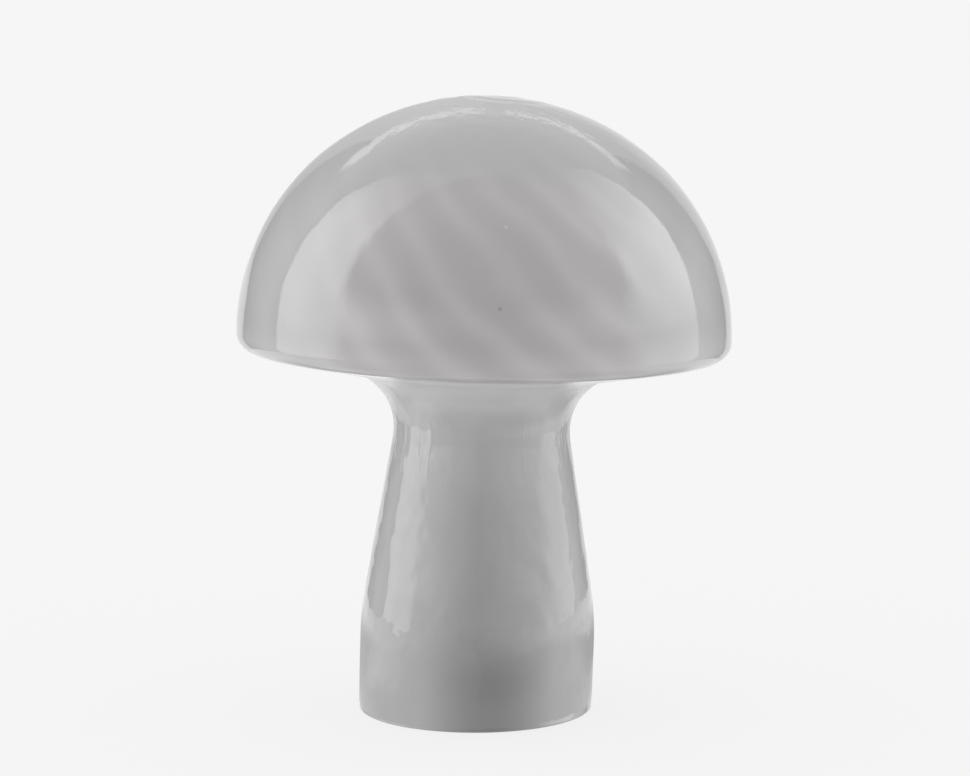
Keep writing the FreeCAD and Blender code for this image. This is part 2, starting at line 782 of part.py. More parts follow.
def make_rivet(number, angle):
    """Rivet through leaf and pan, with a head above and a set head below."""
    shank = "rivet_radius - slip_fit"
    top = "pan_height + clip_thickness"
    body = turned(f"Rivet{number}", [
        ("0", f"{PAN_UNDER} - rivet_head_height"),
        ("rivet_head - rivet_chamfer", f"{PAN_UNDER} - rivet_head_height"),
        ("rivet_head", f"{PAN_UNDER} - rivet_head_height + rivet_chamfer"),
        ("rivet_head", PAN_UNDER), (shank, PAN_UNDER), (shank, top),
        ("rivet_head", top), ("rivet_head", f"{top} + rivet_head_height - rivet_chamfer"),
        ("rivet_head - rivet_chamfer", f"{top} + rivet_head_height"),
        ("0", f"{top} + rivet_head_height"),
    ])
    return move(
        body,
        x=f"{CLIP_RIVET} * cos({angle} deg)",
        y=f"{CLIP_RIVET} * sin({angle} deg)",
    )


def make_clips():
    """Leaves, sleeves and rivets evenly about the axis, none of them over the cord inlet."""
    count = int(value("clip_count"))
    angles = [360 * i / count - 90 for i in range(count)]
    for number, angle in enumerate(angles, start=1):
        make_spring_clip(number, angle)
    finish("clip_rivets", group("Rivets", [make_rivet(n, a) for n, a in enumerate(angles, 1)]))


def make_stem_tube():
    """Hollow threaded tube with bevelled ends."""
    bevel = "tube_radius - tube_chamfer"
    body = turned("StemTube", [
        ("tube_bore", TUBE_FOOT), (bevel, TUBE_FOOT),
        ("tube_radius", f"{TUBE_FOOT} + tube_chamfer"),
        ("tube_radius", f"{TUBE_TOP} - tube_chamfer"),
        (bevel, TUBE_TOP), ("tube_bore", TUBE_TOP),
    ])
    finish("stem_tube", body)


def make_tube_bush():
    """Flanged bush pushed into the tube's lower mouth."""
    neck = "tube_bore - slip_fit"
    body = turned("TubeBush", [
        ("bush_bore", f"{TUBE_FOOT} - bush_flange_height"),
        ("bush_flange", f"{TUBE_FOOT} - bush_flange_height"),
        ("bush_flange", TUBE_FOOT), (neck, TUBE_FOOT),
        (neck, f"{TUBE_FOOT} + bush_neck_length"),
        ("bush_bore", f"{TUBE_FOOT} + bush_neck_length"),
    ])
    soften_rings(body, [("bush_flange", f"{TUBE_FOOT} - bush_flange_height")], "bush_flange_height / 2")
    finish("tube_bush", body)


def make_ring(label, name, outer, inner, foot, height):
    """Flat ring."""
    whole = cylinder(name + "Disc", outer, height, z=foot)
    hole = cylinder(name + "Hole", inner, height, z=foot)
    return finish(label, cut(name, whole, hole))


def make_lock_washer():
    """Washer with outward teeth."""
    foot = f"({PAN_UNDER} - washer_thickness - lock_washer_thickness)"
    body = new_body("LockWasher")
    disc = new_sketch(body, "LockDisc", "XY_Plane", foot)
    circle(disc, "0", "0", "lock_washer_radius - lock_tooth_length")
    pad = body.newObject("PartDesign::Pad", "LockPad")
    pad.Profile = disc
    bind(pad, Length="lock_washer_thickness")
    doc.recompute()
    tooth = new_sketch(body, "LockTooth", "XY_Plane", foot)
    half = "(lock_tooth_width / 2)"
    root = "tube_radius + lock_tooth_length"
    polygon(tooth, [
        (root, f"-{half}"), ("lock_washer_radius", f"-{half}"),
        ("lock_washer_radius", half), (root, half),
    ])
    teeth = body.newObject("PartDesign::Pad", "LockToothPad")
    teeth.Profile = tooth
    bind(teeth, Length="lock_washer_thickness")
    doc.recompute()
    polar(body, teeth, "lock_tooth_count")
    bore = new_sketch(body, "LockBore", "XY_Plane")
    circle(bore, "0", "0", "tube_radius + slip_fit")
    pocket(body, bore, True)
    finish("lock_washer", body)


def make_nut(label, name, foot):
    """Hexagon nut with turned corners at its top and bottom."""
    body = new_body(name)
    hexagon = new_sketch(body, name + "Hexagon", "XY_Plane")
    corner = "nut_across_flats / sqrt(3)"
    polygon(hexagon, [
        (corner, "0"), (f"{corner} / 2", "nut_across_flats / 2"),
        (f"-{corner} / 2", "nut_across_flats / 2"), (f"-{corner}", "0"),
        (f"-{corner} / 2", "-nut_across_flats / 2"), (f"{corner} / 2", "-nut_across_flats / 2"),
    ])
    pad = body.newObject("PartDesign::Pad", name + "Pad")
    pad.Profile = hexagon
    bind(pad, Length="nut_height")
    doc.recompute()
    bore = new_sketch(body, name + "Bore", "XY_Plane")
    circle(bore, "0", "0", "tube_radius + slip_fit")
    pocket(body, bore, True)
    bevel = new_sketch(body, name + "Bevel", "XZ_Plane")
    far = f"{corner} + nut_chamfer"
    polygon(bevel, [
        ("nut_across_flats / 2", "nut_height"),
        (far, f"nut_height - ({far} - nut_across_flats / 2) * {NUT_BEVEL}"),
        (far, "nut_height"),
    ])
    groove(body, bevel)
    move(body, z=foot)
    finish(label, body)


def make_stack():
    """Washers, nuts and cover tube on the threaded tube."""
    hole = "tube_radius + slip_fit"
    make_ring("lower_washer", "LowerWasher", "washer_radius", hole,
              f"{PAN_UNDER} - washer_thickness", "washer_thickness")
    make_lock_washer()
    make_nut("lower_locknut", "LowerNut", f"{TUBE_FOOT} + tube_tail")
    make_ring("upper_washer", "UpperWasher", "washer_radius", hole, PAN_TOP, "washer_thickness")
    make_nut("upper_locknut", "UpperNut", f"{PAN_TOP} + washer_thickness")
    make_ring("spacer_tube", "SpacerTube", "spacer_radius", "spacer_radius - spacer_wall",
              SPACER_FOOT, "spacer_length")


# --------------------------------------------------------------- the lampholder

def make_holder_cap():
    """Lower half: floor with the tube's entry and the grub screw's hole, and a spigot."""
    entry = "tube_radius + slip_fit"
    floor_top = f"{HOLDER_FOOT} + holder_floor"
    body = turned("HolderCap", [
        (entry, HOLDER_FOOT), ("holder_radius", HOLDER_FOOT), ("holder_radius", SKIRT_FOOT),
        (SPIGOT_RADIUS, SKIRT_FOOT), (SPIGOT_RADIUS, SPIGOT_TOP),
        (SPIGOT_BORE, SPIGOT_TOP), (SPIGOT_BORE, floor_top), (entry, floor_top),
    ])
    soften_rings(body, [("holder_radius", HOLDER_FOOT)], "holder_edge_radius")
    hole = new_sketch(body, "GrubHole", "YZ_Plane")
    circle(hole, "0", f"{HOLDER_FOOT} + holder_floor / 2", "grub_radius + slip_fit")
    pocket(body, hole, True)
    finish("holder_cap", body)


def make_grub_screw():
    """Short slotted screw that presses on the tube."""
    start = "(tube_radius + slip_fit)"
    end = f"({start} + grub_length)"
    level = f"({HOLDER_FOOT} + holder_floor / 2)"
    shank = doc.addObject("Part::Cylinder", "GrubShank")
    bind(shank, Radius="grub_radius", Height="grub_length")
    shank.Placement = Placement(Vector(0, 0, 0), Rotation(Vector(0, 1, 0), 90))
    move(shank, x=start, z=level)
    slot = box(
        "GrubSlot",
        (f"{end} - grub_slot_depth", f"{end} + grub_slot_depth"),
        ("-grub_radius * 2", "grub_radius * 2"),
        (f"{level} - grub_slot_width / 2", f"{level} + grub_slot_width / 2"),
    )
    finish("grub_screw", cut("GrubScrew", shank, slot))


def make_holder_skirt():
    """Outer shell with an inward lip round the bulb's mouth."""
    body = turned("HolderSkirt", [
        (SKIRT_BORE, SKIRT_FOOT), ("holder_radius", SKIRT_FOOT), ("holder_radius", HOLDER_TOP),
        ("mouth_radius", HOLDER_TOP), ("mouth_radius", INSERT_TOP), (SKIRT_BORE, INSERT_TOP),
    ])
    soften_rings(body, [("holder_radius", HOLDER_TOP)], "holder_edge_radius")
    finish("holder_skirt", body)


def make_holder_insert():
    """Insulating block: terminal cavity below its floor, contact well and shell seat above."""
    tail = f"{HOLDER_FOOT} + insert_tail_level"
    tail_radius = f"{SPIGOT_BORE} - slip_fit"
    floor_top = f"{INSERT_FLOOR} + insert_floor"
    seat = "shell_radius + slip_fit"
    block = turned("InsertBlock", [
        ("insert_cavity_radius", tail), (tail_radius, tail), (tail_radius, SPIGOT_TOP),
        (SPIGOT_RADIUS, SPIGOT_TOP), (SPIGOT_RADIUS, INSERT_TOP), ("mouth_radius", INSERT_TOP),
        ("mouth_radius", SHELL_TOP), (seat, SHELL_TOP), (seat, THREAD_FOOT),
        ("contact_well_radius", THREAD_FOOT), ("contact_well_radius", floor_top),
        ("0", floor_top), ("0", INSERT_FLOOR), ("insert_cavity_radius", INSERT_FLOOR),
    ])
    room = "(strip_thickness / 2 + slip_fit * 2)"
    side = "(strip_width / 2 + slip_fit * 2)"
    centre_slot = box(
        "CentreSlot",
        (f"-centre_strip_place - {room}", f"-centre_strip_place + {room}"),
        (f"-{side}", side),
        (f"{INSERT_FLOOR} - insert_floor", f"{floor_top} + insert_floor / 2"),
    )
    tab_middle = "(tab_place + strip_thickness / 2)"
    tab_slot = box(
        "TabSlot",
        (f"{tab_middle} - {room}", f"{tab_middle} + {room}"),
        (f"-{side}", side),
        (f"{INSERT_FLOOR} - insert_floor", f"{THREAD_FOOT} + slip_fit"),
    )
    finish("holder_insert", cut("HolderInsert", block, group("InsertSlots", [centre_slot, tab_slot])))


def make_screw_shell():
    """Brass sleeve with the female round thread, and the tab down to its terminal."""
    height = "thread_length - contact_gap"
    blank = cylinder("ShellBlank", "shell_radius", height, z=THREAD_FOOT)
    bore = thread_core("ShellBore", "thread_mean_radius + thread_clearance", THREAD_FOOT, "thread_length")
    sleeve = cut("ShellSleeve", blank, bore)
    tab = box(
        "ShellTab",
        ("tab_place", "tab_place + strip_thickness"),
        ("-strip_width / 2", "strip_width / 2"),
        (TERMINAL_FOOT, f"{THREAD_FOOT} + strip_thickness"),
    )
    finish("screw_shell", fuse("ScrewShell", [sleeve, tab]))


def make_centre_contact():
    """Sprung tongue: up through the floor, then leaning over to just under the bulb's tip."""
    body = new_body("CentreContact")
    path = new_sketch(body, "ContactPath", "XZ_Plane")
    place = "-centre_strip_place"
    tongue = f"({BULB_TIP} - contact_gap - strip_thickness / 2)"
    floor_top = f"({INSERT_FLOOR} + insert_floor)"
    bent_path(path, [
        (place, TERMINAL_FOOT),
        (place, f"{floor_top} + ({tongue} - {floor_top}) * {TONGUE_LOW}"),
        ("-tongue_reach", tongue),
        ("tongue_reach", tongue),
    ], "strip_bend")
    section = new_sketch(body, "ContactSection", "XY_Plane", TERMINAL_FOOT)
    across = "(strip_thickness / 2)"
    half = "(strip_width / 2)"
    polygon(section, [
        (f"{place} - {across}", f"-{half}"), (f"{place} + {across}", f"-{half}"),
        (f"{place} + {across}", half), (f"{place} - {across}", half),
    ])
    pipe(body, section, path)
    finish("centre_contact", body)


def make_terminals():
    """Two brass blocks against the strips, each with a slotted screw from below."""
    low = "(slip_fit - centre_strip_place + strip_thickness / 2)"
    high = "(tab_place - slip_fit)"
    starts = [low, f"({high} - terminal_size)"]
    blocks = []
    screws = []
    for number, start in enumerate(starts, start=1):
        middle = f"({start} + terminal_size / 2)"
        block = box(
            f"TerminalBlock{number}",
            (start, f"{start} + terminal_size"),
            ("-terminal_size / 2", "terminal_size / 2"),
            (TERMINAL_FOOT, f"{TERMINAL_FOOT} + terminal_height"),
        )
        bore = cylinder(f"TerminalBore{number}", "terminal_screw_radius + slip_fit",
                        "terminal_height", x=middle, z=TERMINAL_FOOT)
        blocks.append(cut(f"Terminal{number}", block, bore))
        head_foot = f"({TERMINAL_FOOT} - terminal_head_height)"
        shank = cylinder(f"TerminalShank{number}", "terminal_screw_radius",
                         "terminal_screw_length", x=middle, z=TERMINAL_FOOT)
        head = cylinder(f"TerminalHead{number}", "terminal_head_radius",
                        "terminal_head_height", x=middle, z=head_foot)
        slot = box(
            f"TerminalSlot{number}",
            (f"{middle} - terminal_head_radius * 2", f"{middle} + terminal_head_radius * 2"),
            ("-grub_slot_width / 2", "grub_slot_width / 2"),
            (f"{head_foot} - grub_slot_depth", f"{head_foot} + grub_slot_depth"),
        )
        whole = fuse(f"TerminalScrewBlank{number}", [shank, head])
        screws.append(cut(f"TerminalScrew{number}", whole, slot))
    finish("terminal_blocks", group("TerminalBlocks", blocks))
    finish("terminal_screws", group("TerminalScrews", screws))


# --------------------------------------------------------------------- the bulb

def make_bulb_cap():
    """Metal cap: rolled round thread, then a plain collar, with a bore up from its bottom."""
    bore = "(thread_mean_radius - thread_depth / 2 - bulb_cap_wall)"
    collar_height = "(bulb_cap_length - thread_start - thread_length)"
    rod = thread_core("CapThread", "thread_mean_radius", THREAD_FOOT, "thread_length")
    collar = cylinder("CapCollar", "collar_radius", collar_height, z=COLLAR_FOOT)
    eye = cylinder("CapEye", "insulator_radius + slip_fit", "thread_length", z=THREAD_FOOT)
    room = cylinder("CapRoom", bore, "thread_length", z=f"{THREAD_FOOT} + bulb_cap_wall")
    collar_room = cylinder("CollarRoom", "collar_radius - bulb_cap_wall", collar_height,
                           z=f"{COLLAR_FOOT} + bulb_cap_wall")
    outside = fuse("CapOutside", [rod, collar])
    finish("bulb_cap", cut("BulbCap", outside, fuse("CapInside", [eye, room, collar_room])))


def make_bulb_base():
    """Black glass button in the cap's bottom, and the solder contact under it."""
    top = f"{THREAD_FOOT} + bulb_cap_wall"
    joint = f"{BULB_TIP} + contact_height"
    button = turned("BulbInsulator", [
        ("0", joint), ("contact_radius + bulb_cap_wall * 2", joint),
        ("insulator_radius", f"{THREAD_FOOT} - bulb_cap_wall"), ("insulator_radius", top), ("0", top),
    ])
    finish("bulb_insulator", button)
    contact = turned("BulbContact", [
        ("0", BULB_TIP), ("contact_radius / 2", BULB_TIP),
        ("contact_radius", f"{BULB_TIP} + contact_height / 2"), ("contact_radius", joint), ("0", joint),
    ])
    finish("bulb_contact", contact)


def globe_sketch(body, name, inset):
    """Ball, fillet and neck of the globe's outline, a given inset inside."""
    sketch = new_sketch(body, name, "XZ_Plane")
    top_level = f"({GLOBE_MIDDLE} + globe_radius - {inset})"
    seat_level = f"({BULB_TIP} + globe_seat)"
    top = Vector(0, value(top_level), 0)
    middle = Vector(0, value(GLOBE_MIDDLE), 0)
    across = value("globe_neck_radius + globe_fillet")
    drop = math.sqrt(value("globe_radius + globe_fillet") ** 2 - across ** 2)
    hollow = middle + Vector(across, -drop, 0)
    waist = middle + (hollow - middle).normalize() * value(f"globe_radius - {inset}")
    neck = hollow - Vector(value(f"globe_fillet + {inset}"), 0, 0)
    seat = Vector(neck.x, value(seat_level), 0)
    chain = outline(sketch, top, [
        (waist, middle, -1),
        (neck, hollow, 1),
        (seat, None, 0),
        (Vector(0, seat.y, 0), None, 0),
        (top, None, 0),
    ])
    ball, fillet, side, floor, axis = chain
    join(sketch, "Tangent", ball, fillet)
    join(sketch, "Tangent", fillet, side)
    for before, after in ((side, floor), (floor, axis), (axis, ball)):
        join(sketch, "Coincident", before, after)
    fix_point(sketch, ball[0], ball[1], "0", top_level)
    fix_point(sketch, ball[0], 3, "0", GLOBE_MIDDLE)
    fix_radius(sketch, fillet[0], f"globe_fillet + {inset}")
    sketch.addConstraint(Sketcher.Constraint("Vertical", side[0]))
    fix_point(sketch, side[0], side[2], f"globe_neck_radius - {inset}", seat_level)
    fix_point(sketch, floor[0], floor[2], "0", seat_level)
    return sketch


def make_bulb_globe():
    """Thin glass ball that flows into a neck inside the cap's collar."""
    body = new_body("BulbGlobe")
    revolve(body, globe_sketch(body, "GlobeProfile", "0"))
    groove(body, globe_sketch(body, "GlobeHollow", "globe_wall"))
    finish("bulb_globe", body)


def make_bulb_mount():
    """Inner glass stem with a hollow flare that ends inside the globe's neck."""
    flare = "(globe_neck_radius - globe_wall - slip_fit)"
    seat = f"({BULB_TIP} + globe_seat)"
    waist = f"({BULB_TIP} + mount_waist_level)"
    body = turned("BulbMount", [
        ("0", f"{waist} - mount_flare_edge * 2"),
        (f"{flare} - mount_flare_edge", seat), (flare, seat), (flare, f"{seat} + mount_flare_edge"),
        ("mount_radius", waist), ("mount_radius", f"{BULB_TIP} + mount_top_level"),
        ("0", f"{BULB_TIP} + mount_top_level"),
    ])
    finish("bulb_mount", body)


def make_leads_and_filament():
    """Two spread wires on the mount and the coil of wire between their tips."""
    run = "(lead_top_spread - lead_foot_spread)"
    foot = f"({BULB_TIP} + mount_top_level + lead_radius)"
    leads = []
    for number, side in ((1, -1), (2, 1)):
        lean = math.degrees(math.atan2(value(run), value("lead_rise")))
        wire = doc.addObject("Part::Cylinder", f"Lead{number}")
        bind(wire, Radius="lead_radius", Height=f"sqrt({run}^2 + lead_rise^2)")
        wire.Placement = Placement(Vector(0, 0, 0), Rotation(Vector(0, 1, 0), side * lean))
        move(wire, x=f"{side} * lead_foot_spread", z=foot)
        leads.append(wire)
    finish("lead_wires", group("LeadWires", leads))
    tip = f"({foot} + lead_rise + lead_radius * 2 + coil_wire_radius)"
    helix = doc.addObject("Part::Helix", "CoilHelix")
    bind(helix, Pitch="coil_pitch", Height="lead_top_spread * 2", Radius="coil_radius")
    helix.Placement = Placement(Vector(0, 0, 0), Rotation(Vector(0, 1, 0), 90))
    move(helix, x="-lead_top_spread", z=f"{tip} + coil_radius")
    section = doc.addObject("Part::Circle", "CoilSection")
    bind(section, Radius="coil_wire_radius")
    climb = math.degrees(math.atan2(value("coil_pitch"), value("coil_radius") * 2 * math.pi))
    upright = Rotation(Vector(0, 1, 0), 90)
    section.Placement = Placement(
        Vector(0, 0, 0), upright.multiply(Rotation(Vector(1, 0, 0), climb - 90))
    )
    move(section, x="-lead_top_spread", z=tip)
    doc.recompute()
    coil = doc.addObject("Part::Sweep", "Coil")
    coil.Sections = [section]
    coil.Spine = (helix, [f"Edge{i + 1}" for i in range(len(helix.Shape.Edges))])
    coil.Solid = True
    coil.Frenet = True
    finish("filament", coil)


make_glass_body()
make_base_pan()
make_base_trim_ring()
make_cord_grommet()
make_clips()
make_stem_tube()
make_tube_bush()
make_stack()
make_holder_cap()
make_grub_screw()
make_holder_skirt()
make_holder_insert()
make_screw_shell()
make_centre_contact()
make_terminals()
make_bulb_cap()
make_bulb_base()
make_bulb_globe()
make_bulb_mount()
make_leads_and_filament()
doc.recompute()

# ------------------------------------------------------------- checks and files

for thing in doc.Objects:
    if "Invalid" in thing.State or "Error" in thing.State:
        raise ValueError(f"{thing.Name} failed: {thing.State}")
for label, thing in finished.items():
    if thing.Shape.isNull() or not thing.Shape.isValid():
        raise ValueError(f"{label} has no valid shape")

os.makedirs("parts", exist_ok=True)
for label, thing in finished.items():
    thing.Shape.exportStep(f"parts/{label}.step")
    shape = thing.Shape
    print(f"{label}: {len(shape.Solids)} solid(s), {shape.Volume:.2f} mm3")
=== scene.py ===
"""Looks of the mushroom table lamp: blown opal glass over a white lamp fixture.

Metres, +Z up, the front of the lamp towards -Y.
"""
import bpy
import json
import math
import numpy as np
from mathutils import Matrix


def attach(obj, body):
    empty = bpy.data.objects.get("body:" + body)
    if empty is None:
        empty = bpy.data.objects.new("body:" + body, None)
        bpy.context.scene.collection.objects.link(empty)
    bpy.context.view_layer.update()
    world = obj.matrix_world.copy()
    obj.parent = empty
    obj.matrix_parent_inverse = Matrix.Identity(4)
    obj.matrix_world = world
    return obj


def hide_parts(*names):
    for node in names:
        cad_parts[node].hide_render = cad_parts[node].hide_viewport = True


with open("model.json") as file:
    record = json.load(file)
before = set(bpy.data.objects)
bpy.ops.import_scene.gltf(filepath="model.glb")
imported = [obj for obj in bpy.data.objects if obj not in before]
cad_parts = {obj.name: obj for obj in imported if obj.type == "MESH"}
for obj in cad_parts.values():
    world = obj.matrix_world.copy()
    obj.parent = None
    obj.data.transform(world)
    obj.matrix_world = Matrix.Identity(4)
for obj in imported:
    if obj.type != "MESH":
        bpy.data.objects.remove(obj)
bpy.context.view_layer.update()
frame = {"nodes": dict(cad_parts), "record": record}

MM = 0.001

# ------------------------------------------------------------------ glass sizes

LAMP_HEIGHT = 230 * MM
CAP_RADIUS = 92.2 * MM
CROWN_RADIUS = 95.7 * MM
SHOULDER_RADIUS = 86.7 * MM
RIM_RADIUS = 6.6 * MM
UNDERSIDE_SLOPE = math.radians(10.97)
NECK_RADIUS = 32.9 * MM
NECK_FILLET = 22.2 * MM
NECK_LEVEL = 106 * MM
FOOT_RADIUS = 44 * MM
FOOT_ARC = 140.4 * MM
BELLY_LEVEL = 26.5 * MM
GLASS_WALL = 3.9 * MM
FOOT_EDGE = 1.0 * MM
NOTCH_RADIUS = 5.0 * MM
NOTCH_LEVEL = 10.2 * MM
NOTCH_STEPS = 25
# the closed base inside the foot
PAN_RADIUS = 36.5 * MM

# how the blown glass leans to +X, and how far its foot stands off the fixture's axis
LEAN = math.radians(1.35)
OFFSET = 1.8 * MM
# levels between which the lean's change of height fades in above the ground edge
LEVEL_EDGE = (1.5 * MM, 20 * MM)

# mesh steps round the glass, and points on each run of its outer and inner wall
GLASS_STEPS = 320
OUTER_COUNTS = (46, 34, 18, 22, 16, 10, 14, 10)
INNER_COUNTS = (26, 22, 10, 14, 12, 8, 12, 8)
SHARP_ANGLE = math.radians(32)

# the swirl: ridges round the cap, and how they turn on the way down
RIDGES = 23
RIDGE_TURN = 232.0

# the opal's colour, and the slightly warmer one at the front of the cap
BODY_TINT = (0.418, 0.413, 0.417)
CAP_TINT = (0.427, 0.412, 0.417)
GLASS_GLOSS = 0.03
GLASS_IOR = 1.5
# the painted shade patch at the foot's front (grey painted into the glass) faces a little to the
# right of the front
SHADE_PATCH_FACING = (0.087, -0.996)
# seeds in the glass: place, reach and how much lighter or darker
SEEDS = (
    ((0.0092, -0.0787, 0.1877), 0.9 * MM, 0.25),
    ((0.0071, -0.0902, 0.1604), 1.0 * MM, -0.25),
    ((-0.0085, -0.0225, 0.2270), 1.8 * MM, -0.14),
)

# low drips below the neck: angle and width in degrees, foot and top level, height
DRIPS = (
    (-154.5, 2.2, 90 * MM, 118 * MM, 0.06 * MM),
    (-147.0, 2.0, 98 * MM, 117 * MM, -0.05 * MM),
    (-141.0, 2.2, 94 * MM, 116 * MM, 0.05 * MM),
    (-123.5, 2.4, 97 * MM, 113 * MM, 0.05 * MM),
    (-30.0, 2.4, 84 * MM, 112 * MM, 0.05 * MM),
)

# the solid finishes' relief and the size of their soft patches
GRAIN_DEPTH = 0.01 * MM
MOTTLE = 90.0

# the studio: a dome round the lamp, a glowing ring on the table, a floor, soft light;
# metres, the dome's lowest edge in degrees
DOME_RADIUS = 3.0
DOME_MIDDLE = 0.12
DOME_LOWEST = -30
RING_START = 0.047
TABLE_REACH = 0.42
RING_HEIGHT = 0.3 * MM
CARD_COLOUR = (0.99, 0.995, 1.015, 1)
FLOOR_HALF = 15.0
FLOOR_PAINT = (0.14, 0.14, 0.14, 1)
FLOOR_GLOW = 0.775
BACKDROP = (0.92, 0.92, 0.92, 1)
SKY_EVEN = 0.85
SKY_SIDES = 0.35
SKY_ABOVE = 0.15
SKY_BEHIND = 0.12
SKY_RIGHT = -0.05

CAMERA_PLACE = (0.0037 - OFFSET, -1.147, 0.274)
CAMERA_DROP = math.radians(7.593)
CAMERA_LENS = 115.07
CAMERA_SENSOR = 36.0


# ---------------------------------------------------------------- glass surface

def arc(centre, start, end, count):
    """Points of the shorter arc about centre from start to end, end left out."""
    a = math.atan2(start[1] - centre[1], start[0] - centre[0])
    b = math.atan2(end[1] - centre[1], end[0] - centre[0])
    turn = (b - a + math.pi) % (2 * math.pi) - math.pi
    angle = a + turn * np.arange(count) / count
    radius = math.dist(centre, start)
    return np.stack([centre[0] + radius * np.cos(angle),
                     centre[1] + radius * np.sin(angle)], -1)


def line(start, end, count):
    """Points of a straight run from start to end, end left out."""
    part = (np.arange(count) / count)[:, None]
    return np.asarray(start) * (1 - part) + np.asarray(end) * part


def glass_profile(inset, counts):
    """Radius and level along one wall of the glass, from the crown to the foot's edge.

    Crown, shoulder and rim arcs, the sloping underside, the neck's hollow arc, a
    straight run and the foot's arc, each touching the next, all moved in by the inset.
    """
    crown = CROWN_RADIUS - inset
    shoulder = SHOULDER_RADIUS - inset
    rim = RIM_RADIUS - inset
    neck = NECK_FILLET + inset
    foot = FOOT_ARC - inset
    slope = UNDERSIDE_SLOPE
    top = np.array([0.0, LAMP_HEIGHT - inset])
    crown_centre = top - [0, crown]
    across = CAP_RADIUS - SHOULDER_RADIUS
    up = math.sqrt((crown - shoulder) ** 2 - across ** 2)
    toward = np.array([across, up])
    shoulder_centre = crown_centre + toward
    crown_end = crown_centre + toward / np.linalg.norm(toward) * crown
    neck_centre = np.array([NECK_RADIUS + NECK_FILLET, NECK_LEVEL])
    along = np.array([math.cos(slope), math.sin(slope)])
    normal = np.array([-math.sin(slope), math.cos(slope)])
    neck_start = neck_centre + normal * neck
    base = neck_start + normal * rim - shoulder_centre
    half = base @ along
    run = -half + math.sqrt(half ** 2 - base @ base + (shoulder - rim) ** 2)
    rim_centre = neck_start + normal * rim + along * run
    outward = rim_centre - shoulder_centre
    shoulder_end = shoulder_centre + outward / np.linalg.norm(outward) * shoulder
    rim_end = rim_centre - normal * rim
    foot_centre = np.array([FOOT_RADIUS - inset - foot, BELLY_LEVEL])
    span = neck_centre - foot_centre
    turn = math.atan2(span[1], span[0]) - math.acos((foot + neck) / np.linalg.norm(span))
    outward = np.array([math.cos(turn), math.sin(turn)])
    neck_end = neck_centre - outward * neck
    foot_start = foot_centre + outward * foot
    wall_top = np.array([FOOT_RADIUS - inset, BELLY_LEVEL])
    wall_end = np.array([FOOT_RADIUS - inset, FOOT_EDGE])
    return np.concatenate([
        arc(crown_centre, top, crown_end, counts[0]),
        arc(shoulder_centre, crown_end, shoulder_end, counts[1]),
        arc(rim_centre, shoulder_end, rim_end, counts[2]),
        line(rim_end, neck_start, counts[3]),
        arc(neck_centre, neck_start, neck_end, counts[4]),
        line(neck_end, foot_start, counts[5]),
        arc(foot_centre, foot_start, wall_top, counts[6]),
        line(wall_top, wall_end, counts[7]),
    ])


def foot_edge_profile():
    """Radius and level across the ground foot: a rounded edge, a flat, a rounded edge."""
    outside = FOOT_RADIUS
    inside = FOOT_RADIUS - GLASS_WALL
    edge = FOOT_EDGE
    return np.concatenate([
        arc((outside - edge, edge), (outside, edge), (outside - edge, 0), 6),
        line((outside - edge, 0), (inside + edge, 0), 5),
        arc((inside + edge, edge), (inside + edge, 0), (inside, edge), 6),
    ])


def stand_up(x, y, z):
    """Puts points of the upright glass where the leaning one has them.

    A turn about Y by LEAN and a shift of -OFFSET along X. Near the foot the change of
    height fades out, so that the ground edge stays level with the table.
    """
    leaning = smoothstep(*LEVEL_EDGE, z)
    return (x * math.cos(LEAN) + z * math.sin(LEAN) - OFFSET, y + 0 * x,
            z * (1 - (1 - math.cos(LEAN)) * leaning) - x * math.sin(LEAN) * leaning)


def smoothstep(low, high, value):
    """0 below low, 1 above high, 3t^2 - 2t^3 between them."""
    t = np.clip((value - low) / (high - low), 0, 1)
    return t * t * (3 - 2 * t)


def waviness(angle, along, level):
    """How far the hand-worked outer surface stands off the true one, in metres.

    Low ridges follow the swirl: sin(RIDGES * angle - RIDGE_TURN * along), faded out
    at the pole and below the cap. Slow waves of two and three round the body, a
    twisted fold at the pole, and low runs and drips down the stem are added. All
    of it fades out above the ground edge.
    """
    past_pole = smoothstep(0.02, 0.06, along)
    cap = past_pole * (1 - smoothstep(0.15, 0.19, along))
    swirl = 0.022 * MM * np.sin(RIDGES * angle - RIDGE_TURN * along + 0.9)
    slow = 0.10 * MM * np.sin(3 * angle + 38 * level + 0.4) * past_pole
    slow = slow + 0.07 * MM * np.sin(2 * angle - 61 * level + 2.0) * past_pole
    fold = 0.10 * MM * np.sin(4 * angle - 620 * along + 1.1) * smoothstep(0.002, 0.010, along)
    slow = slow + fold * (1 - smoothstep(0.016, 0.032, along))
    stem = smoothstep(0.19, 0.21, along) * (1 - smoothstep(0.30, 0.33, along))
    runs = 0.05 * MM * np.sin(7 * angle + 20 * level) * stem
    for place, width, low, high, height in DRIPS:
        around = np.angle(np.exp(1j * (angle - math.radians(place)))) / math.radians(width)
        window = smoothstep(low, low + 6 * MM, level) * (1 - smoothstep(high - 4 * MM, high, level))
        runs = runs + height * np.exp(-around ** 2) * window
    keep = smoothstep(0.004, 0.03, level)
    return (cap * swirl + slow + runs) * keep


def set_attribute(mesh, name, values):
    """One number for each of the mesh's points."""
    made = mesh.attributes.new(name, "FLOAT", "POINT")
    made.data.foreach_set("value", np.asarray(values, dtype=np.float32))


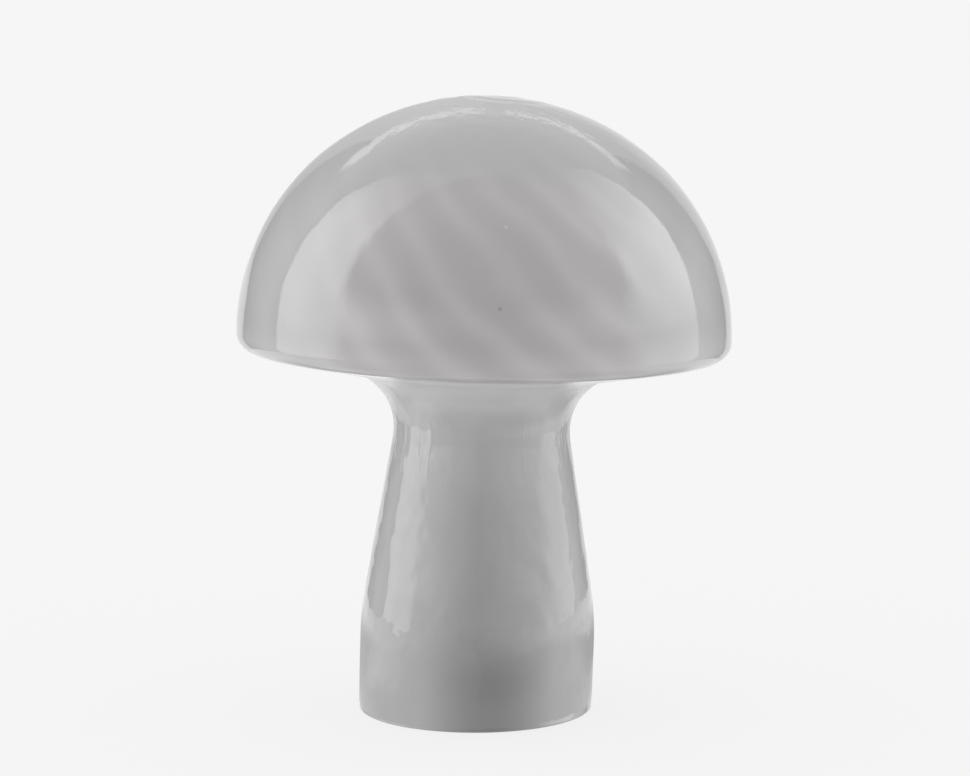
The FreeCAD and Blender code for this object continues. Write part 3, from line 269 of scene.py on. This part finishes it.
def make_glass():
    """One closed surface: the outer wall down, round the foot's edge and up the inner wall.

    Rings of the profile are turned round the axis, made slightly wavy outside and
    leaned sideways; a fan closes each pole. The "run" attribute is the length along
    the profile from the crown, which the swirl of the opal follows.
    """
    steps = GLASS_STEPS
    outer = glass_profile(0.0, OUTER_COUNTS)
    edge = foot_edge_profile()
    inner = glass_profile(GLASS_WALL, INNER_COUNTS)[::-1]
    profile = np.concatenate([outer, edge, inner])
    outside = np.arange(len(profile))[:, None] < len(outer)
    radius = profile[:, 0][:, None]
    level = profile[:, 1][:, None]
    run = np.concatenate([[0], np.cumsum(np.hypot(*np.diff(profile, axis=0).T))])[:, None]
    angle = (np.arange(steps) * 2 * math.pi / steps)[None, :]
    stand_off = np.where(outside, waviness(angle, run, level), 0)
    tangent = np.gradient(profile, axis=0)
    tangent = tangent / np.linalg.norm(tangent, axis=1, keepdims=True)
    out_r = -tangent[:, 1][:, None]
    out_z = tangent[:, 0][:, None]
    around = radius + out_r * stand_off
    height = level + out_z * stand_off + 0 * angle
    points = np.stack(stand_up(around * np.cos(angle), around * np.sin(angle), height), -1)
    rings = points[1:-1]
    poles = np.array([points[0].mean(0), points[-1].mean(0)])
    count = len(rings)
    coords = np.concatenate([rings.reshape(-1, 3), poles])
    first = (np.arange(count - 1) * steps)[:, None]
    here = np.arange(steps)[None, :]
    after = (here + 1) % steps
    quads = np.stack([first + here, first + steps + here,
                      first + steps + after, first + after], -1)
    one = np.arange(steps)
    two = (one + 1) % steps
    top = count * steps
    last = (count - 1) * steps
    crown_fan = np.stack([np.full(steps, top), one, two], -1)
    inner_fan = np.stack([np.full(steps, top + 1), last + two, last + one], -1)
    faces = quads.reshape(-1, 4).tolist() + crown_fan.tolist() + inner_fan.tolist()
    mesh = bpy.data.meshes.new("blown_glass")
    mesh.from_pydata(coords.tolist(), [], faces)
    mesh.update()
    swirl = np.concatenate([np.repeat(run[1:-1, 0], steps), run[[0, -1], 0]])
    set_attribute(mesh, "run", swirl)
    mesh.shade_smooth()
    glass = bpy.data.objects.new("blown_glass", mesh)
    bpy.context.scene.collection.objects.link(glass)
    return glass


def cut_cord_notch(glass):
    """Grinds the arched notch out of the foot at the rear: a slot under a half round.

    The outline (half * cos t, NOTCH_LEVEL + half * sin t), t from 0 to a half turn, with
    straight sides down past the table, is leaned with the glass and carried along Y
    through the wall, and that block is taken out of the glass.
    """
    half = NOTCH_RADIUS
    arch = np.linspace(0, math.pi, NOTCH_STEPS)
    across = np.concatenate([[half], half * np.cos(arch), [-half]]) + OFFSET
    up = np.concatenate([[-half], NOTCH_LEVEL + half * np.sin(arch), [-half]])
    near, far = FOOT_RADIUS - 3 * GLASS_WALL, FOOT_RADIUS + 3 * GLASS_WALL
    count = len(across)
    turned = across * math.cos(LEAN) + up * math.sin(LEAN) - OFFSET
    raised = up * math.cos(LEAN) - across * math.sin(LEAN)
    coords = [(x, y, z) for y in (near, far) for x, z in zip(turned, raised)]
    ends = [list(range(count)), [count + k for k in range(count)][::-1]]
    sides = [[k, count + k, count + (k + 1) % count, (k + 1) % count] for k in range(count)]
    mesh = bpy.data.meshes.new("notch_wheel")
    mesh.from_pydata(coords, [], ends + sides)
    mesh.update()
    wheel = bpy.data.objects.new("notch_wheel", mesh)
    bpy.context.scene.collection.objects.link(wheel)
    grind = glass.modifiers.new("notch", "BOOLEAN")
    grind.operation = "DIFFERENCE"
    grind.solver = "EXACT"
    grind.object = wheel
    bpy.context.view_layer.update()
    state = bpy.context.evaluated_depsgraph_get()
    ground = bpy.data.meshes.new_from_object(glass.evaluated_get(state))
    glass.modifiers.clear()
    glass.data = ground
    ground.name = "blown_glass"
    bpy.data.objects.remove(wheel)
    ground.shade_smooth()
    ground.set_sharp_from_angle(angle=SHARP_ANGLE)


# -------------------------------------------------------------------- finishes

class Finish:
    """A material under construction: adds nodes and links sockets or plain values."""

    def __init__(self, name):
        self.material = bpy.data.materials.new(name)
        self.material.use_nodes = True
        self.tree = self.material.node_tree
        self.shader = self.tree.nodes["Principled BSDF"]

    def put(self, socket, value):
        """Links a socket, or sets a constant on the socket itself."""
        if isinstance(value, bpy.types.NodeSocket):
            self.tree.links.new(value, socket)
        elif isinstance(value, tuple) and len(value) == 3 and socket.type == "RGBA":
            socket.default_value = (*value, 1)
        else:
            socket.default_value = value

    def node(self, kind, settings=None, **inputs):
        """One node with its settings and its inputs, named by their labels."""
        made = self.tree.nodes.new(kind)
        for key, value in (settings or {}).items():
            setattr(made, key, value)
        for key, value in inputs.items():
            self.put(made.inputs[key.replace("_", " ")], value)
        return made

    def maths(self, operation, *values):
        """A maths node's result."""
        made = self.tree.nodes.new("ShaderNodeMath")
        made.operation = operation
        for socket, value in zip(made.inputs, values):
            self.put(socket, value)
        return made.outputs[0]

    def place(self):
        """Object coordinates."""
        return self.node("ShaderNodeTexCoord").outputs["Object"]

    def axes(self):
        """Object coordinates split into X, Y and Z."""
        return self.node("ShaderNodeSeparateXYZ", Vector=self.place()).outputs

    def noise(self, scale, detail=3.0, stretch=(1.0, 1.0, 1.0)):
        """Noise of one value; the scale is in cycles a metre."""
        made = self.node("ShaderNodeMapping", Vector=self.place(), Scale=stretch)
        texture = self.node("ShaderNodeTexNoise", Vector=made.outputs[0], Scale=scale,
                            Detail=detail)
        return texture.outputs["Fac"]

    def spread(self, value, low, high, out_low, out_high, kind="LINEAR"):
        """Maps low..high onto out_low..out_high, held at the ends."""
        made = self.node("ShaderNodeMapRange", {"interpolation_type": kind})
        for socket, number in zip(made.inputs, (value, low, high, out_low, out_high)):
            self.put(socket, number)
        return made.outputs[0]

    def soft(self, *numbers):
        """Like spread, with a smooth start and end."""
        return self.spread(*numbers, kind="SMOOTHSTEP")

    def times(self, first, *others):
        """The product of two or more values."""
        for other in others:
            first = self.maths("MULTIPLY", first, other)
        return first

    def plus(self, first, *others):
        """The sum of two or more values."""
        for other in others:
            first = self.maths("ADD", first, other)
        return first

    def blend(self, factor, first, second):
        """Mixes two colours; a colour mix has its A and B on sockets 6 and 7."""
        made = self.tree.nodes.new("ShaderNodeMix")
        made.data_type = "RGBA"
        self.put(made.inputs[0], factor)
        self.put(made.inputs[6], first)
        self.put(made.inputs[7], second)
        return made.outputs[2]

    def relief(self, height, distance, below=None):
        """Bump of a height in metres."""
        made = self.node("ShaderNodeBump", Height=height, Distance=distance, Strength=1.0)
        if below is not None:
            self.put(made.inputs["Normal"], below)
        return made.outputs[0]

    def surface(self, **inputs):
        """Sets the shader's inputs by their labels."""
        for key, value in inputs.items():
            self.put(self.shader.inputs[key.replace("_", " ")], value)
        return self.material


def worn(name, colour, shade, metallic, rough, grain=1500.0, stretch=(1.0, 1.0, 1.0), **more):
    """A solid finish: two close colours in soft patches, a fine grain in gloss and relief."""
    f = Finish(name)
    patches = f.spread(f.noise(MOTTLE, 4.0), 0.35, 0.65, 0.0, 1.0)
    fine = f.noise(grain, 2.0, stretch)
    gloss = f.plus(f.spread(fine, 0.3, 0.7, rough[0], rough[1]),
                   f.spread(patches, 0.0, 1.0, -0.03, 0.03))
    return f.surface(Base_Color=f.blend(patches, colour, shade), Metallic=metallic,
                     Roughness=gloss, Normal=f.relief(fine, GRAIN_DEPTH), **more)


def threaded(name, colour, shade, pitch, depth):
    """Plated metal with a fine thread: grooves of one pitch up the axis, worn crests."""
    f = Finish(name)
    split = f.axes()
    angle = f.maths("DIVIDE", f.maths("ARCTAN2", split["Y"], split["X"]), 2 * math.pi)
    turns = f.maths("SUBTRACT", f.maths("DIVIDE", split["Z"], pitch), angle)
    groove = f.maths("PINGPONG", turns, 0.5)
    patches = f.spread(f.noise(240.0, 4.0), 0.35, 0.65, 0.0, 1.0)
    return f.surface(Base_Color=f.blend(patches, colour, shade), Metallic=1.0,
                     Roughness=f.spread(groove, 0.1, 0.4, 0.42, 0.26),
                     Normal=f.relief(groove, depth))


def clear(name, tint, rough, depth):
    """Clear blown glass, with faint waves of the given depth."""
    f = Finish(name)
    waves = f.noise(60.0, 2.0)
    return f.surface(Base_Color=tint, Roughness=rough, Transmission_Weight=1.0, IOR=1.47,
                     Normal=f.relief(waves, depth))


def opal():
    """Grey-white opal under a clear casing.

    Tone: soft turned streaks at the front of the cap, faint clouds, painted shade as a grey
    patch at the front of the foot, painted light as whiter glass at the neck, under the brim
    and on the cap's lower edge, and the seeds. Relief: slow waves, ripples, drips and a chilled
    pole.
    """
    f = Finish("opal_glass")
    x, y, z = f.axes()
    run = f.node("ShaderNodeAttribute", {"attribute_name": "run"}).outputs["Fac"]
    angle = f.maths("ARCTAN2", y, x)
    away = f.maths("POWER", f.plus(f.maths("POWER", x, 2.0), f.maths("POWER", y, 2.0)), 0.5)
    front = f.times(f.maths("DIVIDE", y, away), -1.0)
    below_cap = f.soft(run, 0.150, 0.165, 0.0, 1.0)

    warp = f.spread(f.noise(26.0, 2.0), 0.2, 0.8, -1.6, 1.6)
    turned = f.maths("SUBTRACT", f.times(angle, float(RIDGES)), f.times(run, RIDGE_TURN))
    wave = f.maths("SINE", f.plus(turned, f.maths("SUBTRACT", warp, 2.2)))
    crest = f.maths("POWER", f.spread(wave, -1.0, 1.0, 0.0, 1.0), 1.6)
    cap = f.times(f.soft(run, 0.055, 0.090, 0.0, 1.0), f.spread(run, 0.145, 0.165, 1.0, 0.0))
    uneven = f.spread(f.noise(14.0, 1.0), 0.35, 0.65, 0.5, 1.0)
    strong = f.soft(front, 0.70, 0.92, 0.25, 1.0)
    streak = f.times(crest, cap, f.times(uneven, strong))
    cloud = f.spread(f.noise(18.0, 3.0), 0.3, 0.7, 0.97, 1.03)

    # painted shade: a grey patch painted into the front of the foot, darker towards the bottom,
    # facing a little right of the front
    facing = f.plus(f.times(y, SHADE_PATCH_FACING[1]), f.times(x, SHADE_PATCH_FACING[0]))
    patch = f.spread(f.maths("DIVIDE", facing, away), 0.80, 1.0, 0.0, 1.0)
    grey = f.times(f.maths("POWER", patch, 1.7), f.soft(z, 0.018, 0.042, 0.475, 0.17),
                   f.spread(z, 0.050, 0.092, 1.0, 0.0))
    # painted light: whiter glass at the front of the neck, round the crease under the brim and, as
    # rim, on the brim's lower edge, standing in for light that glows through the glass and bounces
    # up from the table
    white = f.times(f.soft(z, 0.080, 0.108, 0.0, 0.15), f.soft(front, 0.35, 0.85, 0.0, 1.0))
    white = f.plus(white, f.soft(z, 0.112, 0.126, 0.0, 0.30), f.soft(z, 0.120, 0.128, 0.0, 0.15))
    rim = f.times(f.soft(z, 0.150, 0.137, 0.0, 0.16), f.soft(away, 0.045, 0.060, 0.0, 1.0))
    white = f.plus(f.times(white, below_cap), rim)
    tone = f.times(cloud, f.maths("SUBTRACT", f.plus(1.0, white), grey))
    tone = f.plus(tone, f.times(streak, 0.14))
    for place, reach, change in SEEDS:
        distance = f.node("ShaderNodeVectorMath", {"operation": "DISTANCE"})
        f.put(distance.inputs[0], f.place())
        distance.inputs[1].default_value = place
        tone = f.plus(tone, f.soft(distance.outputs["Value"], 0.3 * reach, reach, change, 0.0))

    slow = f.relief(f.noise(34.0, 1.0), 0.10 * MM)
    # heights in metres: ripples all over, stronger on the stem; drips below the neck,
    # fainter at the front; chilled glass round the pole
    ripple = f.times(f.noise(110.0, 1.5, (1.0, 1.0, 0.7)),
                     f.soft(run, 0.15, 0.18, 0.10 * MM, 0.60 * MM))
    window = f.times(f.soft(z, 0.086, 0.100, 0.0, 0.16 * MM), f.soft(z, 0.108, 0.115, 1.0, 0.0),
                     f.soft(front, 0.80, 0.93, 1.0, 0.1))
    drip = f.times(f.soft(f.noise(300.0, 1.0, (1.0, 1.0, 0.05)), 0.54, 0.70, 0.0, 1.0), window)
    chill = f.times(f.noise(260.0, 2.0), f.soft(run, 0.025, 0.075, 0.24 * MM, 0.02 * MM))
    # the hollow under the brim is duller
    hollow = f.times(f.soft(z, 0.114, 0.124, 0.0, 0.22), below_cap)

    colour = f.node("ShaderNodeVectorMath", {"operation": "SCALE"})
    warmth = f.times(cap, f.soft(front, 0.60, 0.95, 0.0, 1.0))
    f.put(colour.inputs[0], f.blend(warmth, BODY_TINT, CAP_TINT))
    f.put(colour.inputs["Scale"], tone)
    return f.surface(Base_Color=colour.outputs[0], Roughness=f.plus(hollow, GLASS_GLOSS),
                     IOR=GLASS_IOR, Normal=f.relief(f.plus(ripple, drip, chill), 1.0, below=slow))


# ------------------------------------------------------------------ build glass

glass = make_glass()
cut_cord_notch(glass)
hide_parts("glass_body")
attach(glass, "glass")

# slot: colour, shade of its patches, metallic, range of gloss, grain in cycles a metre
WORN = {
    "pan_paint": ((0.72, 0.72, 0.70), (0.68, 0.68, 0.66), 0.0, (0.34, 0.48), 900.0),
    "trim_rubber": ((0.62, 0.62, 0.60), (0.56, 0.56, 0.54), 0.0, (0.6, 0.8), 2500.0),
    "inlet_rubber": ((0.70, 0.70, 0.68), (0.64, 0.64, 0.62), 0.0, (0.55, 0.75), 2500.0),
    "spring_steel": ((0.56, 0.55, 0.53), (0.44, 0.44, 0.45), 1.0, (0.34, 0.50), 900.0,
                     (6.0, 6.0, 0.4)),
    "rivet_steel": ((0.62, 0.61, 0.59), (0.50, 0.50, 0.49), 1.0, (0.25, 0.42)),
    "bush_plastic": ((0.72, 0.72, 0.70), (0.68, 0.68, 0.66), 0.0, (0.32, 0.48)),
    "washer_steel": ((0.63, 0.63, 0.61), (0.50, 0.50, 0.50), 1.0, (0.28, 0.44)),
    "nut_steel": ((0.66, 0.66, 0.64), (0.54, 0.54, 0.53), 1.0, (0.22, 0.40)),
    "spacer_paint": ((0.72, 0.72, 0.70), (0.69, 0.69, 0.67), 0.0, (0.30, 0.44), 900.0),
    "holder_plastic": ((0.70, 0.70, 0.67), (0.66, 0.66, 0.63), 0.0, (0.26, 0.40)),
    "screw_steel": ((0.60, 0.60, 0.59), (0.48, 0.48, 0.48), 1.0, (0.24, 0.40)),
    "insert_ceramic": ((0.82, 0.81, 0.77), (0.74, 0.73, 0.69), 0.0, (0.15, 0.32), 700.0),
    "contact_brass": ((0.78, 0.58, 0.26), (0.66, 0.47, 0.20), 1.0, (0.22, 0.42)),
    "terminal_brass": ((0.78, 0.58, 0.26), (0.62, 0.44, 0.20), 1.0, (0.26, 0.44)),
    "bulb_cap_metal": ((0.78, 0.78, 0.77), (0.66, 0.66, 0.66), 1.0, (0.24, 0.40)),
    "black_glass": ((0.012, 0.012, 0.013), (0.02, 0.02, 0.022), 0.0, (0.05, 0.14)),
    "solder_metal": ((0.60, 0.60, 0.59), (0.44, 0.44, 0.44), 1.0, (0.30, 0.55), 1200.0),
    "lead_metal": ((0.62, 0.57, 0.52), (0.48, 0.44, 0.41), 1.0, (0.25, 0.42), 3000.0),
    "filament_metal": ((0.30, 0.29, 0.29), (0.22, 0.22, 0.23), 1.0, (0.35, 0.5), 5000.0),
}
finishes = {name: worn(name, *look) for name, look in WORN.items()}
finishes["opal_glass"] = opal()
finishes["sleeve_silicone"] = worn("sleeve_silicone", (0.74, 0.74, 0.72), (0.68, 0.68, 0.66), 0.0,
                                   (0.35, 0.55), 3000.0, Transmission_Weight=0.25)
finishes["zinc_tube"] = threaded("zinc_tube", (0.66, 0.66, 0.64), (0.52, 0.53, 0.54),
                                 1.0 * MM, 0.25 * MM)
finishes["clear_bulb_glass"] = clear("clear_bulb_glass", (0.97, 0.98, 0.97), 0.01, 0.03 * MM)


def dress(piece, finish):
    """Puts one finish on a piece's own slot, leaving its mesh as it is."""
    if not piece.material_slots:
        piece.data.materials.append(None)
    for place in piece.material_slots:
        place.link = "OBJECT"
        place.material = finish


dress(glass, finishes["opal_glass"])
slots = {entry["node"]: entry["material_slot"] for entry in frame["record"]["subparts"]}
for node, piece in frame["nodes"].items():
    dress(piece, finishes[slots[node]])


# ----------------------------------------------------------------------- studio

def plain_material(name, build):
    """A material whose surface is the shader that build makes."""
    material = bpy.data.materials.new(name)
    material.use_nodes = True
    tree = material.node_tree
    tree.nodes.clear()
    out = tree.nodes.new("ShaderNodeOutputMaterial")
    tree.links.new(build(tree), out.inputs["Surface"])
    return material


def glowing(tree):
    """Emission whose strength is the card's own level at each point."""
    level = tree.nodes.new("ShaderNodeAttribute")
    level.attribute_name = "glow"
    light = tree.nodes.new("ShaderNodeEmission")
    light.inputs["Color"].default_value = CARD_COLOUR
    tree.links.new(level.outputs["Fac"], light.inputs["Strength"])
    return light.outputs[0]


def matt_white(tree):
    """The floor's matt white: mostly even light, so that the shadow stays faint.

    Under the closed base the even light is left out, so the floor there is dark: painted shade
    under the base.
    """
    paint = tree.nodes.new("ShaderNodeBsdfDiffuse")
    paint.inputs["Color"].default_value = FLOOR_PAINT
    place = tree.nodes.new("ShaderNodeTexCoord")
    away = tree.nodes.new("ShaderNodeVectorMath")
    away.operation = "LENGTH"
    tree.links.new(place.outputs["Object"], away.inputs[0])
    # no even light inside the base's radius: painted shade on the floor under the base
    outside = tree.nodes.new("ShaderNodeMapRange")
    limits = (PAN_RADIUS - 1 * MM, PAN_RADIUS, 0.0, FLOOR_GLOW)
    for socket, value in zip(outside.inputs[1:], limits):
        socket.default_value = value
    tree.links.new(away.outputs["Value"], outside.inputs[0])
    even = tree.nodes.new("ShaderNodeEmission")
    tree.links.new(outside.outputs[0], even.inputs["Strength"])
    both = tree.nodes.new("ShaderNodeAddShader")
    tree.links.new(paint.outputs[0], both.inputs[0])
    tree.links.new(even.outputs[0], both.inputs[1])
    return both.outputs[0]


CARD = plain_material("studio_card", glowing)


def ramp(value, *stops):
    """Straight runs through (place, level) stops, held at the ends."""
    places, levels = zip(*stops)
    return np.interp(value, places, levels)


def blend(first, second, part):
    """First at part 0, second at part 1, straight between."""
    return first + (second - first) * part


def studio_level(azimuth, elevation):
    """Brightness of the studio in a direction, in degrees; azimuth 0 is +Y, 90 is +X.

    A white backdrop behind with a lighter part above it, grey flags beside it, a tall
    softbox on each side with a hard rear edge and a softer front one, a thin bright
    strip overhead with a gap in the middle, and dark in front, lighter low down.
    """
    side = np.abs(azimuth)
    left = azimuth < 0
    low = 1 - smoothstep(10, 24, elevation)
    rear_edge = np.where(left, ramp(elevation, (3, 71.5), (9, 70.1), (41, 67.1)),
                         ramp(elevation, (3, 66.2), (9, 64.8), (24, 63.4), (41, 57.2)))
    front_edge = np.where(left, 108.0 + 3 * low, 102.5 + 2 * low)
    front_blur = np.where(left, 4 + 3 * low, 4 + 10 * low)

    flag = ramp(side, (30, 0.26), (35, 0.30), (47, 0.56), (62, 1.15))
    flag = flag + 0.012 * np.clip(elevation, 0, 36)
    flag = flag * np.where(left, 1 + 0.10 * low, 0.8 + 0.45 * low)
    back_left = ramp(elevation, (0, 1.15), (4, 0.85), (12, 0.74), (26, 0.95), (36, 1.2))
    back_right = ramp(elevation, (0, 1.05), (20, 0.95), (26, 0.90), (36, 1.1))
    back = 0.92 * np.where(left, back_left, back_right)
    back_edge = np.where(left, 34 - 1.3 * np.clip(elevation, 0, 7), 32)
    back = blend(back, flag, smoothstep(-1, 1, side - back_edge))
    above = ramp(elevation, (42, 1.25), (60, 1.05), (75, 0.90))
    back = blend(back, above, smoothstep(38, 42, elevation))

    box = ramp(elevation, (-2, 4.0), (12, 4.3), (36, 4.5), (48, 3.4), (62, 1.6), (75, 1.1))
    box_right = ramp(elevation, (2, 0.78), (7, 0.88), (14, 0.96), (30, 0.94), (40, 0.77))
    box = box * np.where(left, 1.0, box_right)
    box = box * (1 - 0.08 * (1 - smoothstep(0, 5, elevation)))
    rear_level = np.where(left, 0.80, 0.93)
    box = box * blend(rear_level, 1, smoothstep(0, 14, side - rear_edge))

    front = ramp(side, (105, 1.2), (125, 0.8), (150, 0.10), (180, 0.05))
    front = blend(front, 0.55, smoothstep(45, 80, elevation))
    low_front = ramp(side, (105, 2.9), (120, 2.5), (132, 2.0), (143, 1.5), (155, 1.0),
                     (168, 0.5), (180, 0.1))
    low_front = low_front * np.where(left, 1.0, 0.72)
    low_front = low_front * (0.65 + 0.35 * smoothstep(-1, 6, elevation))
    front = blend(front, low_front, low)

    level = blend(back, box, smoothstep(-0.8, 0.8, side - rear_edge))
    level = blend(level, front, smoothstep(-1, 1, (side - front_edge) / front_blur))
    strip = smoothstep(36.4, 37.2, elevation) * (1 - smoothstep(41.0, 41.8, elevation))
    strip = strip * (1 - smoothstep(38, 46, side)) * smoothstep(1.5, 4.0, np.abs(azimuth - 3))
    return level + strip * ramp(azimuth, (-38, 1.5), (-22, 1.0), (0, 0.6), (24, 0.9), (44, 1.3))


def table_level(azimuth, away):
    """Brightness of the table in reflections, at a distance from the axis.

    It shows the softboxes' glow on both sides, is plainer close to the foot, and
    further out is darkest towards the front.
    """
    side = np.abs(azimuth)
    near = ramp(side, (0, 0.45), (62, 0.65), (84, 1.75), (105, 1.75), (130, 0.9), (180, 0.9))
    near = np.where(azimuth < 0, near, 0.70 * near)
    beside_foot = ramp(side, (0, 0.60), (60, 0.68), (100, 1.0))
    near = blend(beside_foot, near, smoothstep(0.07, 0.115, away))
    far = ramp(side, (0, 1.0), (45, 1.35), (66, 1.8), (84, 2.2), (106, 2.2), (140, 1.0), (180, 0.3))
    return blend(near, far, smoothstep(0.14, 0.26, away))


def make_card(name, points, glow, up):
    """A glowing sheet that closes round the axis and that only reflections show.

    The points are rows of rings; a face joins each four neighbours, the other way
    round where up is set.
    """
    rows, columns = points.shape[:2]
    here = np.arange(columns)[None, :]
    first = np.arange(rows - 1)[:, None] * columns + here
    after = np.arange(rows - 1)[:, None] * columns + (here + 1) % columns
    loop = [first, after, after + columns, first + columns]
    if up:
        loop = [loop[k] for k in (0, 3, 2, 1)]
    mesh = bpy.data.meshes.new(name)
    mesh.from_pydata(points.reshape(-1, 3).tolist(), [],
                     np.stack(loop, -1).reshape(-1, 4).tolist())
    set_attribute(mesh, "glow", glow.ravel())
    mesh.materials.append(CARD)
    card = bpy.data.objects.new(name, mesh)
    bpy.context.scene.collection.objects.link(card)
    for flag in ("camera", "diffuse", "transmission", "volume_scatter", "shadow"):
        setattr(card, f"visible_{flag}", False)


def make_dome():
    """The studio round the lamp: a ball from DOME_LOWEST to the pole, every degree."""
    a, e = np.meshgrid(np.radians(np.arange(360) - 180.0),
                       np.radians(np.linspace(DOME_LOWEST, 90, 91 - DOME_LOWEST)))
    points = np.stack([DOME_RADIUS * np.sin(a) * np.cos(e), DOME_RADIUS * np.cos(a) * np.cos(e),
                       DOME_MIDDLE + DOME_RADIUS * np.sin(e)], -1)
    make_card("studio_dome", points, studio_level(np.degrees(a), np.degrees(e)), False)


def make_table_glow():
    """The table's glow: a flat ring just above the floor, closer steps near the foot."""
    a, r = np.meshgrid(np.radians(np.arange(0, 360, 2) - 180.0),
                       np.geomspace(RING_START, TABLE_REACH, 60))
    points = np.stack([r * np.sin(a), r * np.cos(a), np.full_like(a, RING_HEIGHT)], -1)
    make_card("table_glow", points, table_level(np.degrees(a), r), True)


make_dome()
make_table_glow()

floor_mesh = bpy.data.meshes.new("floor")
floor_mesh.from_pydata([(FLOOR_HALF * x, FLOOR_HALF * y, 0)
                        for x, y in ((-1, -1), (1, -1), (1, 1), (-1, 1))], [], [(0, 1, 2, 3)])
floor_mesh.materials.append(plain_material("floor_white", matt_white))
floor = bpy.data.objects.new("floor", floor_mesh)
bpy.context.scene.collection.objects.link(floor)
# the reflections show the cards instead, and the sky lights the lamp from below too
floor.visible_diffuse = False
floor.visible_glossy = False

world = bpy.data.worlds.new("studio")
bpy.context.scene.world = world
world.use_nodes = True
tree = world.node_tree
tree.nodes.clear()


def world_maths(operation, first, second, clamp=False):
    """One step of the sky's sums, of sockets or plain numbers."""
    made = tree.nodes.new("ShaderNodeMath")
    made.operation = operation
    made.use_clamp = clamp
    for socket, value in zip(made.inputs, (first, second)):
        if isinstance(value, bpy.types.NodeSocket):
            tree.links.new(value, socket)
        else:
            socket.default_value = value
    return made.outputs[0]


def world_background(colour):
    """A background shader of one colour."""
    made = tree.nodes.new("ShaderNodeBackground")
    made.inputs["Color"].default_value = colour
    return made


# the pale backdrop that the camera, reflections and clear glass see
seen = tree.nodes.new("ShaderNodeLightPath").outputs
direct = world_maths("ADD", seen["Is Camera Ray"], seen["Is Glossy Ray"], clamp=True)
direct = world_maths("ADD", direct, seen["Is Transmission Ray"], clamp=True)
backdrop = world_background(BACKDROP)

# soft light from everywhere, a little stronger from both sides, above and behind
place = tree.nodes.new("ShaderNodeTexCoord")
split = tree.nodes.new("ShaderNodeSeparateXYZ")
tree.links.new(place.outputs["Generated"], split.inputs[0])
x, y, z = split.outputs
sides = world_maths("MULTIPLY", world_maths("MULTIPLY", x, x), SKY_SIDES)
above = world_maths("MULTIPLY", z, SKY_ABOVE)
behind = world_maths("MULTIPLY", y, SKY_BEHIND)
across = world_maths("ADD", world_maths("MULTIPLY", x, SKY_RIGHT), SKY_EVEN)
sky = world_background((1.0, 1.0, 1.0, 1))
tree.links.new(world_maths("ADD", world_maths("ADD", sides, above),
                           world_maths("ADD", behind, across)), sky.inputs["Strength"])
both = tree.nodes.new("ShaderNodeMixShader")
out = tree.nodes.new("ShaderNodeOutputWorld")
tree.links.new(direct, both.inputs[0])
tree.links.new(sky.outputs[0], both.inputs[1])
tree.links.new(backdrop.outputs[0], both.inputs[2])
tree.links.new(both.outputs[0], out.inputs["Surface"])

camera_data = bpy.data.cameras.new("camera")
camera_data.lens = CAMERA_LENS
camera_data.sensor_width = CAMERA_SENSOR
camera_data.clip_start = 0.01
camera_data.clip_end = 100.0
camera = bpy.data.objects.new("camera", camera_data)
camera.location = CAMERA_PLACE
camera.rotation_euler = (math.pi / 2 - CAMERA_DROP, 0, 0)
bpy.context.scene.collection.objects.link(camera)
bpy.context.scene.camera = camera
bpy.context.scene.view_settings.view_transform = "Standard"
